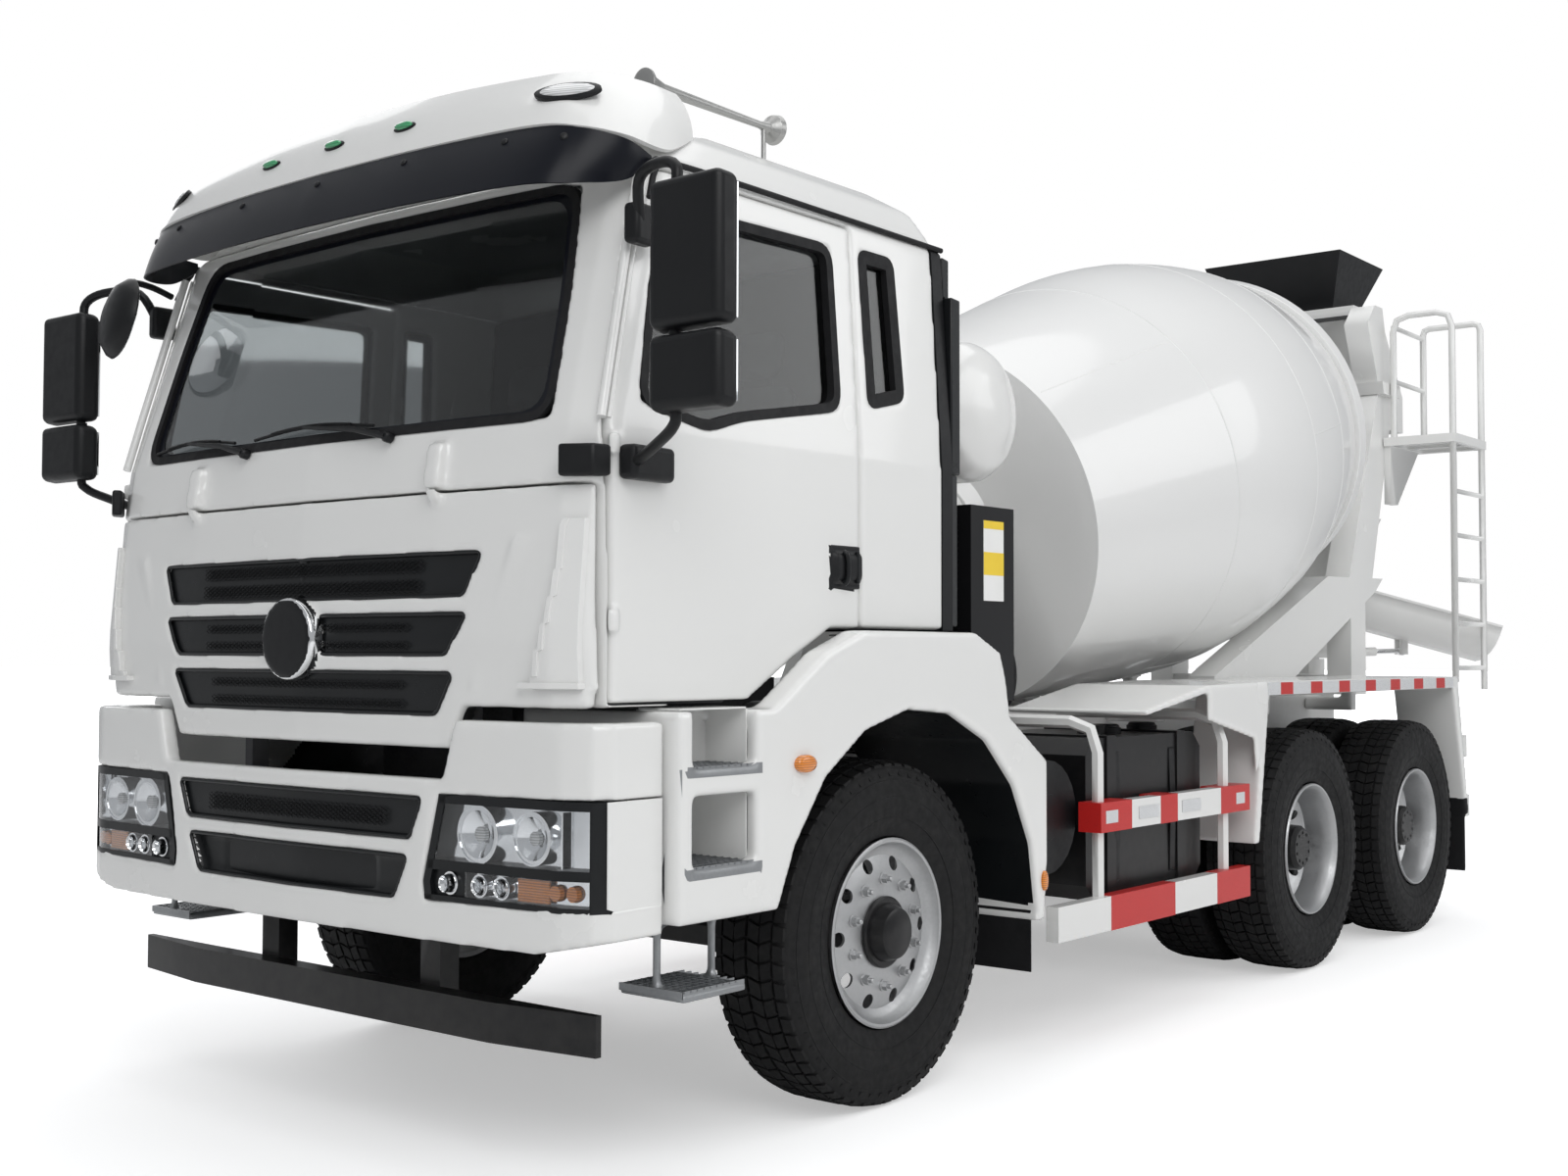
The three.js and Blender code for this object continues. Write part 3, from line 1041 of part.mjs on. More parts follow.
/** Roof cap over the windscreen, wrapping round the cab's front corners. */
function roofDeflector() {
  return cut(deflectorHull(), cabBody(-SEAT_GAP), box([-860, 860], [-1120, -700], [2700, 3005]));
}

function deflectorHull() {
  return hull([
    [-1090, -1010, 2760], [1090, -1010, 2760], [-1100, -1200, 2800], [1100, -1200, 2800],
    [-900, -1300, 2840], [900, -1300, 2840], [0, -1345, 2850], [-880, -1180, 3020], [880, -1180, 3020],
    [0, -1220, 3050], [-960, -830, 3030], [960, -830, 3030], [0, -830, 3050], [-1020, -830, 2900],
    [1020, -830, 2900]]);
}

/** Dark sun visor under the roof cap. */
function sunVisor() {
  const outer = hull([
    [-1080, -1060, 2760], [1080, -1060, 2760], [-1060, -1150, 2700], [1060, -1150, 2700],
    [-900, -1400, 2735], [900, -1400, 2735], [0, -1460, 2745], [-900, -1310, 2839], [900, -1310, 2839],
    [0, -1352, 2849], [-1099, -1202, 2799], [1099, -1202, 2799]]);
  const hollow = hull([
    [-1110, -900, 2720], [1110, -900, 2720], [-1045, -1140, 2660], [1045, -1140, 2660],
    [-890, -1385, 2700], [890, -1385, 2700], [0, -1445, 2710], [-880, -1290, 2800], [880, -1290, 2800],
    [0, -1330, 2810], [-1070, -1180, 2780], [1070, -1180, 2780], [0, -900, 2800]]);
  return cut(outer, hollow, cabBody(-SEAT_GAP), deflectorHull().translate([0, 0, -SEAT_GAP]));
}

function seat(side) {
  const x = [560 * side - 250, 560 * side + 250];
  const base = box([600 * side - 130, 600 * side + 130], [-350, -150], [1536 + SEAT_GAP, 1700]);
  const cushion = hull([[x[0], -640, 1690], [x[1], -640, 1690], [x[0], -120, 1690], [x[1], -120, 1690],
    [x[0] + 15, -610, 1800], [x[1] - 15, -610, 1800], [x[0] + 15, -120, 1800], [x[1] - 15, -120, 1800]]);
  const back = hull([[x[0], -170, 1750], [x[1], -170, 1750], [x[0], -40, 1750], [x[1], -40, 1750],
    [x[0] + 30, -50, 2330], [x[1] - 30, -50, 2330], [x[0] + 30, 40, 2330], [x[1] - 30, 40, 2330]]);
  const head = box([x[0] + 120, x[1] - 120], [-30, 50], [2320, 2510]);
  return join(base, cushion, back, head);
}

/** Dashboard with the steering column and wheel. */
function dashboard() {
  const panel = hull([[-1040, FLOOR_FRONT_Y, 1700], [1040, FLOOR_FRONT_Y, 1700], [-1040, FLOOR_FRONT_Y, 2000],
    [1040, FLOOR_FRONT_Y, 2000], [-1040, -960, 1720], [1040, -960, 1720], [-1040, -1000, 1980],
    [1040, -1000, 1980]]).intersect(cabBody(CAB_WALL + 8));
  const column = bar([560, -1050, 1780], [560, -800, 1990], 35, 10);
  const wheelAxis = [0, -0.64, -0.77];
  const ring = turned(Array.from({ length: 6 }, (_, i) => {
    const angle = (i * Math.PI) / 3;
    return [14 * Math.sin(angle), 215 + 14 * Math.cos(angle)];
  }), 14, wheelAxis, [560, -800, 1990]);
  const spoke = box([350, 770], [-15, 15], [-10, 10]).translate([-560, 0, 0]).rotate([-50, 0, 0])
    .translate([560, -800, 1990]);
  return join(panel, column, ring, spoke);
}

// ---------------------------------------------------------------- assembly

piece('chassis_frame', chassisFrame(), frameMetal);
piece('engine_block', engineBlock(), steel);
piece('front_axle', frontAxle(), blackMetal);
piece('rear_bogie', rearBogie(), blackMetal);
piece('subframe', subframe(), paint);
piece('rear_frame', rearFrame(), paint);
piece('hopper_funnel', hopper(), blackPlastic);
piece('hopper_guard', hopperGuard(), paint);
piece('collector_chute', collectorChute(), paint);
piece('platform_ladder', platformLadder(), paint);
piece('drum_drive', drumDrive(), paint);
piece('water_tank', waterTank(), paint);
piece('oil_cooler', oilCooler(), blackMetal);
piece('fuel_tank', fuelTank(), blackPlastic);
piece('air_cleaner', airCleaner(), blackPlastic);
piece('battery_box', batteryBox(), blackPlastic);
piece('front_bumper', frontBumper(), paint);
piece('rear_underrun_bar', rearUnderrunBar(), blackMetal);
piece('mixer_drum', drum(), paint);
piece('chute_swivel', chuteSwivel(), paint);
piece('main_chute', mainChute(), paint);
piece('jack_barrel', jackBarrel(), steel);
piece('jack_rod', jackRod(), steel);
piece('cab_front', cabFront(), paint);
piece('cab_back', cabBack(), paint);
piece('cab_roof', cabRoof(), paint);
piece('cab_floor', cabFloor(), blackPlastic);
piece('windscreen', windscreen(), tinted);
piece('front_panel', frontPanel(), paint);
piece('dashboard', dashboard(), blackPlastic);
piece('roof_deflector', roofDeflector(), paint);
piece('sun_visor', sunVisor(), tinted);
for (const [name, side] of SIDES) {
  piece(`headlamp_${name}`, headlamp(side), tinted);
  piece(`step_fender_${name}`, stepFender(side), paint);
  piece(`rear_fender_${name}`, rearFender(side), paint);
  piece(`side_guard_${name}`, sideGuard(side), paint);
  piece(`drum_roller_${name}`, roller(side), steel);
  piece(`knuckle_${name}`, knuckle(side), blackMetal);
  piece(`front_wheel_${name}`, frontWheel(side), silver);
  piece(`front_tyre_${name}`, frontTyre(side), rubber);
  REAR_AXLES.forEach((y, i) => piece(`rear_wheel_${i + 1}_${name}`, rearWheel(y, side), rubber));
  piece(`cab_side_${name}`, cabSide(side), paint);
  piece(`door_${name}`, door(side), paint);
  piece(`door_mirror_${name}`, doorMirror(side), blackPlastic);
  piece(`seat_${name}`, seat(side), cloth);
}

const extent = new THREE.Box3().setFromObject(truck);
truck.position.y = -(extent.min.y + extent.max.y) / 2;

export default truck;
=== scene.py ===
# %% [markdown]
# # A concrete mixer truck
#
# The imported model gives every solid of the truck at its real place and size. This lesson gives
# those solids the surfaces of the real machine: enamel, rubber, glass, lamps and cast wheels.
# The frame is loaded first. The finished truck has to stay inside it.

# %% Load the frame
import json
import math

import bmesh
import bpy
from mathutils import Matrix, Vector
from mathutils.bvhtree import BVHTree

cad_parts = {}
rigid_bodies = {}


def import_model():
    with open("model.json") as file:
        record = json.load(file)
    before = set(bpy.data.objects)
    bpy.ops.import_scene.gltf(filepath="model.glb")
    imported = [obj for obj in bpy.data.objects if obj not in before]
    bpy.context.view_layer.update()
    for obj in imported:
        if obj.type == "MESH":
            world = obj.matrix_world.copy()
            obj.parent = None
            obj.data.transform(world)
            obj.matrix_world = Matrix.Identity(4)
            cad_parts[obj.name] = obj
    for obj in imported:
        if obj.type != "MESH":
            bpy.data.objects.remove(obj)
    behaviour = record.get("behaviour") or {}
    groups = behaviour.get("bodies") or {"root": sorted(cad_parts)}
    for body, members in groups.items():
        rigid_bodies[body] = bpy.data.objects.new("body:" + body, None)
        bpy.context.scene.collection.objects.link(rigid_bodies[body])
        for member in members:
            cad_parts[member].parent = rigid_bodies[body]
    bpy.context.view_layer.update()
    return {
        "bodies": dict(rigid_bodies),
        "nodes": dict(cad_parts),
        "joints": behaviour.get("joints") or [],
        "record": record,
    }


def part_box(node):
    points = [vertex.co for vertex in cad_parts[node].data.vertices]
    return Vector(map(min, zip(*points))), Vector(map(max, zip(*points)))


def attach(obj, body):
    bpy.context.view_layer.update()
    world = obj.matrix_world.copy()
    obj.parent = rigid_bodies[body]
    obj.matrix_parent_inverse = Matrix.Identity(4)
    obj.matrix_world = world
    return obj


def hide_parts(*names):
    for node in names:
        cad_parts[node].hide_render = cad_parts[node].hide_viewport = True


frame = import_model()
scene = bpy.context.scene
NODES = frame["nodes"]
BODY_OF = {node: body
           for body, members in frame["record"]["behaviour"]["bodies"].items()
           for node in members}

# %% [markdown]
# Lengths on a truck are measured from the front axle. The axle's place in the frame comes from
# the box of a front tyre, and every other place is counted from there, so the pieces follow the
# frame if it is packed again.

# %% Places that the pieces are counted from
MM = 0.001


def middle(node):
    low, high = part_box(node)
    return (low + high) / 2


AXLE_Y = middle("front_tyre_left").y
AXLE_Z = middle("front_tyre_left").z
TYRE_RADIUS = AXLE_Z
SIDES = {"left": 1, "right": -1}


def spot(x, y, z):
    """A place in the frame, from millimetres behind the front axle and above the ground."""
    return Vector((x * MM, AXLE_Y + y * MM, z * MM))


print("front axle at", round(AXLE_Y, 3), "radius", round(TYRE_RADIUS, 3))

# %% [markdown]
# The camera stands at the front left corner at about chest height, close to the cab, so the cab
# looks large and the drum runs away from it. A camera in Blender looks along its own -Z, so its
# turn is built from a heading and a small upward tilt.

# %% Camera
CAMERA_PLACE = Vector((4.357, AXLE_Y - 4.548, 1.415))
CAMERA_HEADING = math.radians(38.85)
CAMERA_RISE = math.radians(2.13)
CAMERA_ROLL = math.radians(0.12)

camera_data = bpy.data.cameras.new("studio_camera")
camera_data.lens = 40.46
camera_data.sensor_width = 36
camera_data.clip_end = 400
camera = bpy.data.objects.new("studio_camera", camera_data)
scene.collection.objects.link(camera)
camera.location = CAMERA_PLACE
camera.rotation_euler = (
    Matrix.Rotation(CAMERA_HEADING, 3, "Z")
    @ Matrix.Rotation(math.pi / 2 + CAMERA_RISE, 3, "X")
    @ Matrix.Rotation(CAMERA_ROLL, 3, "Z")
).to_euler()
scene.camera = camera
print("camera at", tuple(round(v, 2) for v in camera.location))

# %% [markdown]
# Product shots of large machines are taken against a white sweep with broad soft lamps. The floor
# is a wide pale square that glows a little for the camera, more so far away, and the world behind
# it is white for the camera. Other rays see a dimmer world, so white enamel still shows its form.

# %% Studio
scene.view_settings.view_transform = "Standard"


def area_lamp(name, place, size, power):
    data = bpy.data.lights.new(name, "AREA")
    data.shape = "RECTANGLE"
    data.size, data.size_y = size
    data.energy = power
    lamp = bpy.data.objects.new(name, data)
    scene.collection.objects.link(lamp)
    lamp.location = place
    target = Vector((0, 0, 1.2))
    lamp.rotation_euler = (target - lamp.location).to_track_quat("-Z", "Y").to_euler()
    return lamp


area_lamp("key_lamp", Vector((9, -9, 9)), (8, 8), 620)
area_lamp("side_lamp", Vector((11, 5, 7)), (10, 6), 300)
area_lamp("far_lamp", Vector((-10, 3, 8)), (10, 8), 330)
area_lamp("top_lamp", Vector((0, 0, 12)), (12, 12), 520)

world = bpy.data.worlds.new("white_room")
scene.world = world
world.use_nodes = True
world_tree = world.node_tree
background = world_tree.nodes["Background"]
white_room = world_tree.nodes.new("ShaderNodeBackground")
chooser = world_tree.nodes.new("ShaderNodeMixShader")
rays = world_tree.nodes.new("ShaderNodeLightPath")
background.inputs["Color"].default_value = (0.95, 0.97, 1.0, 1)
background.inputs["Strength"].default_value = 0.42
white_room.inputs["Color"].default_value = (1, 1, 1, 1)
white_room.inputs["Strength"].default_value = 1.0
world_tree.links.new(rays.outputs["Is Camera Ray"], chooser.inputs["Fac"])
world_tree.links.new(background.outputs["Background"], chooser.inputs[1])
world_tree.links.new(white_room.outputs["Background"], chooser.inputs[2])
world_tree.links.new(chooser.outputs["Shader"], world_tree.nodes["World Output"].inputs["Surface"])

# %% [markdown]
# A finish is a Principled shader fed by a little arithmetic. Wiring Math nodes by hand hides the
# sums, so `Value` wraps a socket and turns `a * b + c` into nodes, and `Finish.node` adds any
# other node in one call. What is the same all over a surface is set on the shader's own socket.

# %% Shader arithmetic
class Value:
    """A number that changes over a surface. Arithmetic on it adds Math nodes."""

    def __init__(self, finish, socket):
        self.finish = finish
        self.socket = socket

    def math(self, operation, first, second):
        return self.finish.node("ShaderNodeMath", {"operation": operation, "use_clamp": False},
                                {0: first, 1: second})

    def __add__(self, other):
        return self.math("ADD", self, other)

    def __sub__(self, other):
        return self.math("SUBTRACT", self, other)

    def __rsub__(self, other):
        return self.math("SUBTRACT", other, self)

    def __mul__(self, other):
        return self.math("MULTIPLY", self, other)

    def __gt__(self, other):
        return self.math("GREATER_THAN", self, other)

    def __lt__(self, other):
        return self.math("LESS_THAN", self, other)

    __radd__ = __add__
    __rmul__ = __mul__


class Finish:
    """A named material: a Principled shader and the nodes that feed it."""

    def __init__(self, name, colour, roughness=0.5, metallic=0.0, **constants):
        self.material = bpy.data.materials.new(name)
        self.material.use_nodes = True
        self.material.diffuse_color = (*colour, 1)
        self.tree = self.material.node_tree
        self.shader = self.tree.nodes["Principled BSDF"]
        self.set("Base Color", (*colour, 1))
        self.set("Roughness", roughness)
        self.set("Metallic", metallic)
        for socket, value in constants.items():
            self.set(socket.replace("_", " "), value)

    def plug(self, socket, value):
        if isinstance(value, Value):
            self.tree.links.new(value.socket, socket)
        elif isinstance(value, tuple) and len(value) == 3 and socket.type == "RGBA":
            socket.default_value = (*value, 1)
        else:
            socket.default_value = value

    def set(self, socket, value):
        self.plug(self.shader.inputs[socket], value)

    def node(self, kind, settings=None, inputs=None, output=0):
        made = self.tree.nodes.new(kind)
        for name, value in (settings or {}).items():
            if name == "stops":
                for stop, (place, colour) in zip(made.color_ramp.elements, value):
                    stop.position = place
                    stop.color = (*colour, 1)
            else:
                setattr(made, name, value)
        for name, value in (inputs or {}).items():
            self.plug(made.inputs[name], value)
        return Value(self, made.outputs[output])

    def place(self):
        return self.node("ShaderNodeTexCoord", output="Object")

    def axis(self, name):
        return self.node("ShaderNodeSeparateXYZ", inputs={"Vector": self.place()}, output=name)

    def noise(self, scale, detail=3.0):
        return self.node("ShaderNodeTexNoise",
                         inputs={"Vector": self.place(), "Scale": scale, "Detail": detail})

    def ease(self, value, low, high, start=0.0, end=1.0):
        """start below low, end above high, and a straight rise between them."""
        return self.node("ShaderNodeMapRange", inputs={
            "Value": value, "From Min": low, "From Max": high, "To Min": start, "To Max": end})

    def mix(self, mask, first, second):
        made = self.tree.nodes.new("ShaderNodeMix")
        made.data_type = "RGBA"
        colours = [socket for socket in made.inputs if socket.type == "RGBA"]
        self.plug(made.inputs[0], mask)
        self.plug(colours[0], first)
        self.plug(colours[1], second)
        return Value(self, [socket for socket in made.outputs if socket.type == "RGBA"][0])

    def bump(self, height, strength=0.2, distance=0.001):
        self.set("Normal", self.node("ShaderNodeBump", inputs={
            "Strength": strength, "Distance": distance, "Height": height}))


# %% [markdown]
# The truck wears few finishes. White enamel covers the cab, frame, drum and chutes. Real enamel
# is never one flat value: it has a fine orange peel, slow changes of gloss, and a film of road
# dust low down. Each finish below gets its own small set of such faults, at the real scale.

# %% Painted finishes
DUST = (0.56, 0.53, 0.48)


def enamel(name, colour, roughness, dusty, peel, coat=0.6, **constants):
    finish = Finish(name, colour, roughness, Coat_Weight=coat, Coat_Roughness=0.06, **constants)
    patches = finish.noise(1.7, 4)
    low = finish.ease(finish.axis("Z"), 0.35, 1.5, 1.0, 0.0)
    dust = finish.ease(patches * 0.6 + finish.noise(23, 5) * 0.4, 0.38,
                       0.72) * (low * dusty + dusty * 0.05)
    finish.set("Base Color", finish.mix(dust, colour, DUST))
    finish.set("Roughness", finish.ease(finish.noise(2.2, 3), 0.3, 0.7, roughness * 0.94,
                                        roughness * 1.06) + dust * 0.3)
    finish.bump(finish.noise(peel, 2), 0.05, 0.0004)
    return finish


WHITE_ENAMEL = enamel("white_enamel", (0.80, 0.80, 0.785), 0.26, 0.05, 210)
DRUM_ENAMEL = enamel("drum_enamel", (0.80, 0.80, 0.79), 0.30, 0.06, 150)
FRAME_ENAMEL = enamel("frame_enamel", (0.76, 0.76, 0.75), 0.36, 0.55, 160, 0.3)
BLACK_ENAMEL = enamel("black_enamel", (0.008, 0.008, 0.009), 0.34, 0.04, 180, 0.08,
                      Specular_IOR_Level=0.25)


def moulded(name, colour, roughness, grain=420, depth=0.10):
    """Moulded plastic or rubber: a fine grained skin that greys a little where it is handled."""
    finish = Finish(name, colour, roughness, Specular_IOR_Level=0.3)
    cells = finish.node("ShaderNodeTexVoronoi", {"feature": "F1"},
                        {"Vector": finish.place(), "Scale": grain})
    fade = finish.ease(finish.noise(6, 5), 0.4, 0.75, 0.0, 0.3)
    pale = tuple(min(1, c * 1.3 + 0.004) for c in colour)
    finish.set("Base Color", finish.mix(fade, colour, pale))
    finish.set("Roughness", finish.ease(finish.noise(31, 4), 0.3, 0.7, roughness * 0.85,
                                        min(1, roughness * 1.15)))
    finish.bump(cells, depth, 0.0004)
    return finish


BLACK_PLASTIC = moulded("black_plastic", (0.006, 0.0065, 0.0075), 0.42)
SATIN_BLACK = moulded("satin_black", (0.007, 0.008, 0.009), 0.32, 600, 0.06)
SEAL_RUBBER = moulded("seal_rubber", (0.008, 0.008, 0.009), 0.62, 500, 0.2)
TRIM_GREY = moulded("trim_grey", (0.19, 0.19, 0.20), 0.60, 380)
LABEL_WHITE = moulded("blank_label", (0.82, 0.82, 0.80), 0.40, 700, 0.05)
LABEL_YELLOW = moulded("yellow_label", (0.85, 0.60, 0.05), 0.40, 700, 0.05)

# %% [markdown]
# Tyre rubber is duller than trim. Its side wall has fine moulded rings, which a sine of the
# distance from the hub would give, but the wheels stand at several places, so the rings are
# modelled and the finish only holds the dust that collects in the tread.

# %% Rubber, metal, glass and lamps
TYRE_RUBBER = Finish("tyre_rubber", (0.010, 0.010, 0.0105), 0.68, Specular_IOR_Level=0.25)
tread_dust = TYRE_RUBBER.ease(TYRE_RUBBER.noise(14, 6), 0.45, 0.8, 0.0, 0.28)
TYRE_RUBBER.set("Base Color",
                TYRE_RUBBER.mix(tread_dust, (0.0085, 0.0085, 0.009), (0.026, 0.025, 0.023)))
TYRE_RUBBER.set("Roughness", TYRE_RUBBER.ease(TYRE_RUBBER.noise(40, 3), 0.3, 0.7, 0.58, 0.78))
TYRE_RUBBER.bump(TYRE_RUBBER.noise(320, 3), 0.35, 0.0006)


def metal(name, colour, roughness, scratch=90):
    finish = Finish(name, colour, roughness, 1.0)
    cloud = finish.noise(5, 5)
    finish.set("Roughness", finish.ease(cloud * 0.6 + finish.noise(scratch, 4) * 0.4, 0.35, 0.65,
                                        roughness * 0.75, min(1, roughness * 1.35)))
    dark = tuple(c * 0.72 for c in colour)
    finish.set("Base Color", finish.mix(finish.ease(cloud, 0.5, 0.8, 0.0, 0.5), colour, dark))
    finish.bump(finish.noise(scratch * 3, 2), 0.08, 0.0004)
    return finish


WHEEL_SILVER = metal("wheel_silver", (0.50, 0.505, 0.51), 0.46)
BARE_STEEL = metal("bare_steel", (0.42, 0.42, 0.41), 0.40)
GRATING_STEEL = metal("grating_steel", (0.34, 0.35, 0.36), 0.46)
CHROME = metal("chrome", (0.86, 0.87, 0.88), 0.09, 40)
CAST_IRON = metal("cast_iron", (0.07, 0.07, 0.072), 0.55)
MIRROR_GLASS = metal("mirror_glass", (0.88, 0.90, 0.92), 0.03, 20)


def glazing(name, colour, roughness=0.02, transmission=1.0):
    finish = Finish(name, colour, roughness, Transmission_Weight=transmission, IOR=1.45)
    finish.set("Roughness", finish.ease(finish.noise(3, 4), 0.4, 0.8, roughness, roughness + 0.03))
    return finish


TINTED_GLASS = glazing("tinted_glass", (0.46, 0.48, 0.485))
CLEAR_LENS = glazing("clear_lens", (0.95, 0.96, 0.97))
SMOKED_VISOR = Finish("smoked_visor", (0.006, 0.007, 0.011), 0.3, Specular_IOR_Level=0.2)
SMOKED_VISOR.set("Roughness", SMOKED_VISOR.ease(SMOKED_VISOR.noise(4, 4), 0.35, 0.7, 0.28, 0.36))


def lens(name, colour):
    """A coloured lamp lens, with the fine prisms that spread its light."""
    finish = Finish(name, colour, 0.12, Coat_Weight=1.0, Coat_Roughness=0.03)
    rows = finish.node("ShaderNodeTexWave", {"wave_type": "BANDS", "bands_direction": "Z"},
                       {"Vector": finish.place(), "Scale": 45.0, "Distortion": 0.0})
    deep = tuple(c * 0.55 for c in colour)
    finish.set("Base Color", finish.mix(rows, colour, deep))
    finish.bump(rows, 0.4, 0.001)
    return finish


AMBER_LENS = lens("amber_lens", (0.85, 0.26, 0.015))
RED_LENS = lens("red_lens", (0.55, 0.012, 0.010))
GREEN_LENS = lens("green_lens", (0.04, 0.42, 0.16))
WHITE_LENS = lens("white_lens", (0.85, 0.86, 0.86))


def tape(name, colour):
    """Reflective tape: a bright film over a fine honeycomb."""
    finish = Finish(name, colour, 0.30, 0.15)
    cells = finish.node("ShaderNodeTexVoronoi", {"feature": "DISTANCE_TO_EDGE"},
                        {"Vector": finish.place(), "Scale": 260})
    edge = finish.ease(cells, 0.02, 0.08)
    finish.set("Base Color", finish.mix(edge, tuple(c * 0.7 for c in colour), colour))
    finish.bump(edge, 0.15, 0.0003)
    return finish


RED_TAPE = tape("red_tape", (0.62, 0.020, 0.018))
SILVER_TAPE = tape("silver_tape", (0.74, 0.75, 0.76))

FLOOR_WHITE = Finish("floor_white", (0.86, 0.86, 0.86), 0.9)
FLOOR_WHITE.set("Base Color", FLOOR_WHITE.mix(FLOOR_WHITE.ease(FLOOR_WHITE.noise(0.4, 3), 0.3, 0.7),
                                              (0.86, 0.86, 0.86), (0.88, 0.88, 0.88)))
floor_glow = FLOOR_WHITE.node("ShaderNodeLightPath", output="Is Camera Ray")
from_middle = FLOOR_WHITE.node("ShaderNodeVectorMath", {"operation": "LENGTH"},
                               {"Vector": FLOOR_WHITE.place()}, output="Value")
far_glow = FLOOR_WHITE.mix(FLOOR_WHITE.ease(from_middle, 5.5, 12.0), (0.42, 0.42, 0.42),
                           (1.4, 1.4, 1.4))
FLOOR_WHITE.set("Emission Color", FLOOR_WHITE.mix(floor_glow, (0.0, 0.0, 0.0), far_glow))
FLOOR_WHITE.set("Emission Strength", 1.0)
print(len(bpy.data.materials), "finishes mixed")

# %% Floor
floor_mesh = bpy.data.meshes.new("floor")
FLOOR_REACH = 150
floor_mesh.from_pydata([(x, y, 0) for x, y in ((-FLOOR_REACH, -FLOOR_REACH),
                                               (FLOOR_REACH, -FLOOR_REACH),
                                               (FLOOR_REACH, FLOOR_REACH),
                                               (-FLOOR_REACH, FLOOR_REACH))],
                       [], [(0, 1, 2, 3)])
floor = bpy.data.objects.new("floor", floor_mesh)
scene.collection.objects.link(floor)
floor_mesh.materials.append(FLOOR_WHITE.material)
print("floor laid")

# %% [markdown]
# Pressed and welded steel is made of flats with small rounded edges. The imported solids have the
# right flats, so most of them are copied, their loose triangles are joined into one skin, and
# shallow corners are shaded round. Each copy then stands for its solid and rides on its body.

# %% Copy a solid as one smooth skin
def link(name, mesh, finish):
    piece = bpy.data.objects.new(name, mesh)
    scene.collection.objects.link(piece)
    mesh.materials.append(finish.material)
    return piece


def result_of(piece):
    """The plain mesh that a piece's modifiers make."""
    return bpy.data.meshes.new_from_object(
        piece.evaluated_get(bpy.context.evaluated_depsgraph_get()))


def shade(mesh, angle):
    mesh.shade_smooth()
    mesh.set_sharp_from_angle(angle=math.radians(angle))


def round_over(piece, size):
    """Rounds every edge of a thick panel: a fine even mesh is relaxed, and its flats made plain."""
    grid = piece.modifiers.new("even_mesh", "REMESH")
    grid.mode = "VOXEL"
    grid.voxel_size = size * MM
    grid.use_smooth_shade = True
    relax = piece.modifiers.new("relax", "SMOOTH")
    relax.factor = 0.6
    relax.iterations = 7
    plain = piece.modifiers.new("plain_flats", "DECIMATE")
    plain.decimate_type = "COLLAPSE"
    plain.ratio = 0.22
    bpy.context.view_layer.update()
    mesh = result_of(piece)
    piece.modifiers.clear()
    piece.data = mesh
    shade(mesh, 50)


def refine(node, finish, slot, angle=38, soften=0):
    skin = bmesh.new()
    skin.from_mesh(NODES[node].data)
    bmesh.ops.remove_doubles(skin, verts=skin.verts, dist=0.02 * MM)
    bmesh.ops.dissolve_limit(skin, angle_limit=math.radians(0.6), verts=skin.verts,
                             edges=skin.edges)
    mesh = bpy.data.meshes.new(node + "_skin")
    skin.to_mesh(mesh)
    skin.free()
    shade(mesh, angle)
    piece = link(node + "_skin", mesh, finish)
    if soften:
        round_over(piece, soften)
    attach(piece, BODY_OF[node])
    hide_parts(node)
    return piece


STEEL_SKINS = {
    "chassis_frame": (BLACK_ENAMEL, "frame_metal", 38), "subframe": (FRAME_ENAMEL, "paint", 38),
    "rear_frame": (WHITE_ENAMEL, "paint", 38), "engine_block": (CAST_IRON, "dark_metal", 38),
    "front_axle": (BLACK_ENAMEL, "frame_metal", 38),
    "rear_bogie": (BLACK_ENAMEL, "frame_metal", 38),
    "rear_underrun_bar": (WHITE_ENAMEL, "paint", 38),
    "hopper_funnel": (BLACK_PLASTIC, "dark_plastic", 50),
    "hopper_guard": (WHITE_ENAMEL, "paint", 62), "collector_chute": (WHITE_ENAMEL, "paint", 38),
    "platform_ladder": (WHITE_ENAMEL, "paint", 62), "drum_drive": (WHITE_ENAMEL, "paint", 38),
    "water_tank": (WHITE_ENAMEL, "paint", 40), "oil_cooler": (BLACK_ENAMEL, "dark_metal", 38),
    "fuel_tank": (BLACK_ENAMEL, "dark_metal", 40),
    "air_cleaner": (BLACK_PLASTIC, "dark_plastic", 40),
    "battery_box": (BLACK_PLASTIC, "dark_plastic", 38), "chute_swivel": (WHITE_ENAMEL, "paint", 38),
    "main_chute": (WHITE_ENAMEL, "paint", 44), "jack_barrel": (WHITE_ENAMEL, "paint", 44),
    "jack_rod": (CHROME, "steel", 44), "front_bumper": (WHITE_ENAMEL, "paint", 38),
    "front_panel": (WHITE_ENAMEL, "paint", 38), "cab_front": (WHITE_ENAMEL, "paint", 38),
    "cab_back": (BLACK_PLASTIC, "dark_plastic", 38), "cab_roof": (WHITE_ENAMEL, "paint", 38),
    "cab_floor": (TRIM_GREY, "dark_plastic", 38), "dashboard": (TRIM_GREY, "dark_plastic", 38),
    "windscreen": (TINTED_GLASS, "glass", 30),
}
PAIRED_SKINS = {
    "step_fender": (WHITE_ENAMEL, "paint", 38), "rear_fender": (WHITE_ENAMEL, "paint", 38),
    "side_guard": (WHITE_ENAMEL, "paint", 38), "drum_roller": (BARE_STEEL, "steel", 38),
    "knuckle": (CAST_IRON, "frame_metal", 38), "cab_side": (WHITE_ENAMEL, "paint", 38),
    "door": (WHITE_ENAMEL, "paint", 38),
}
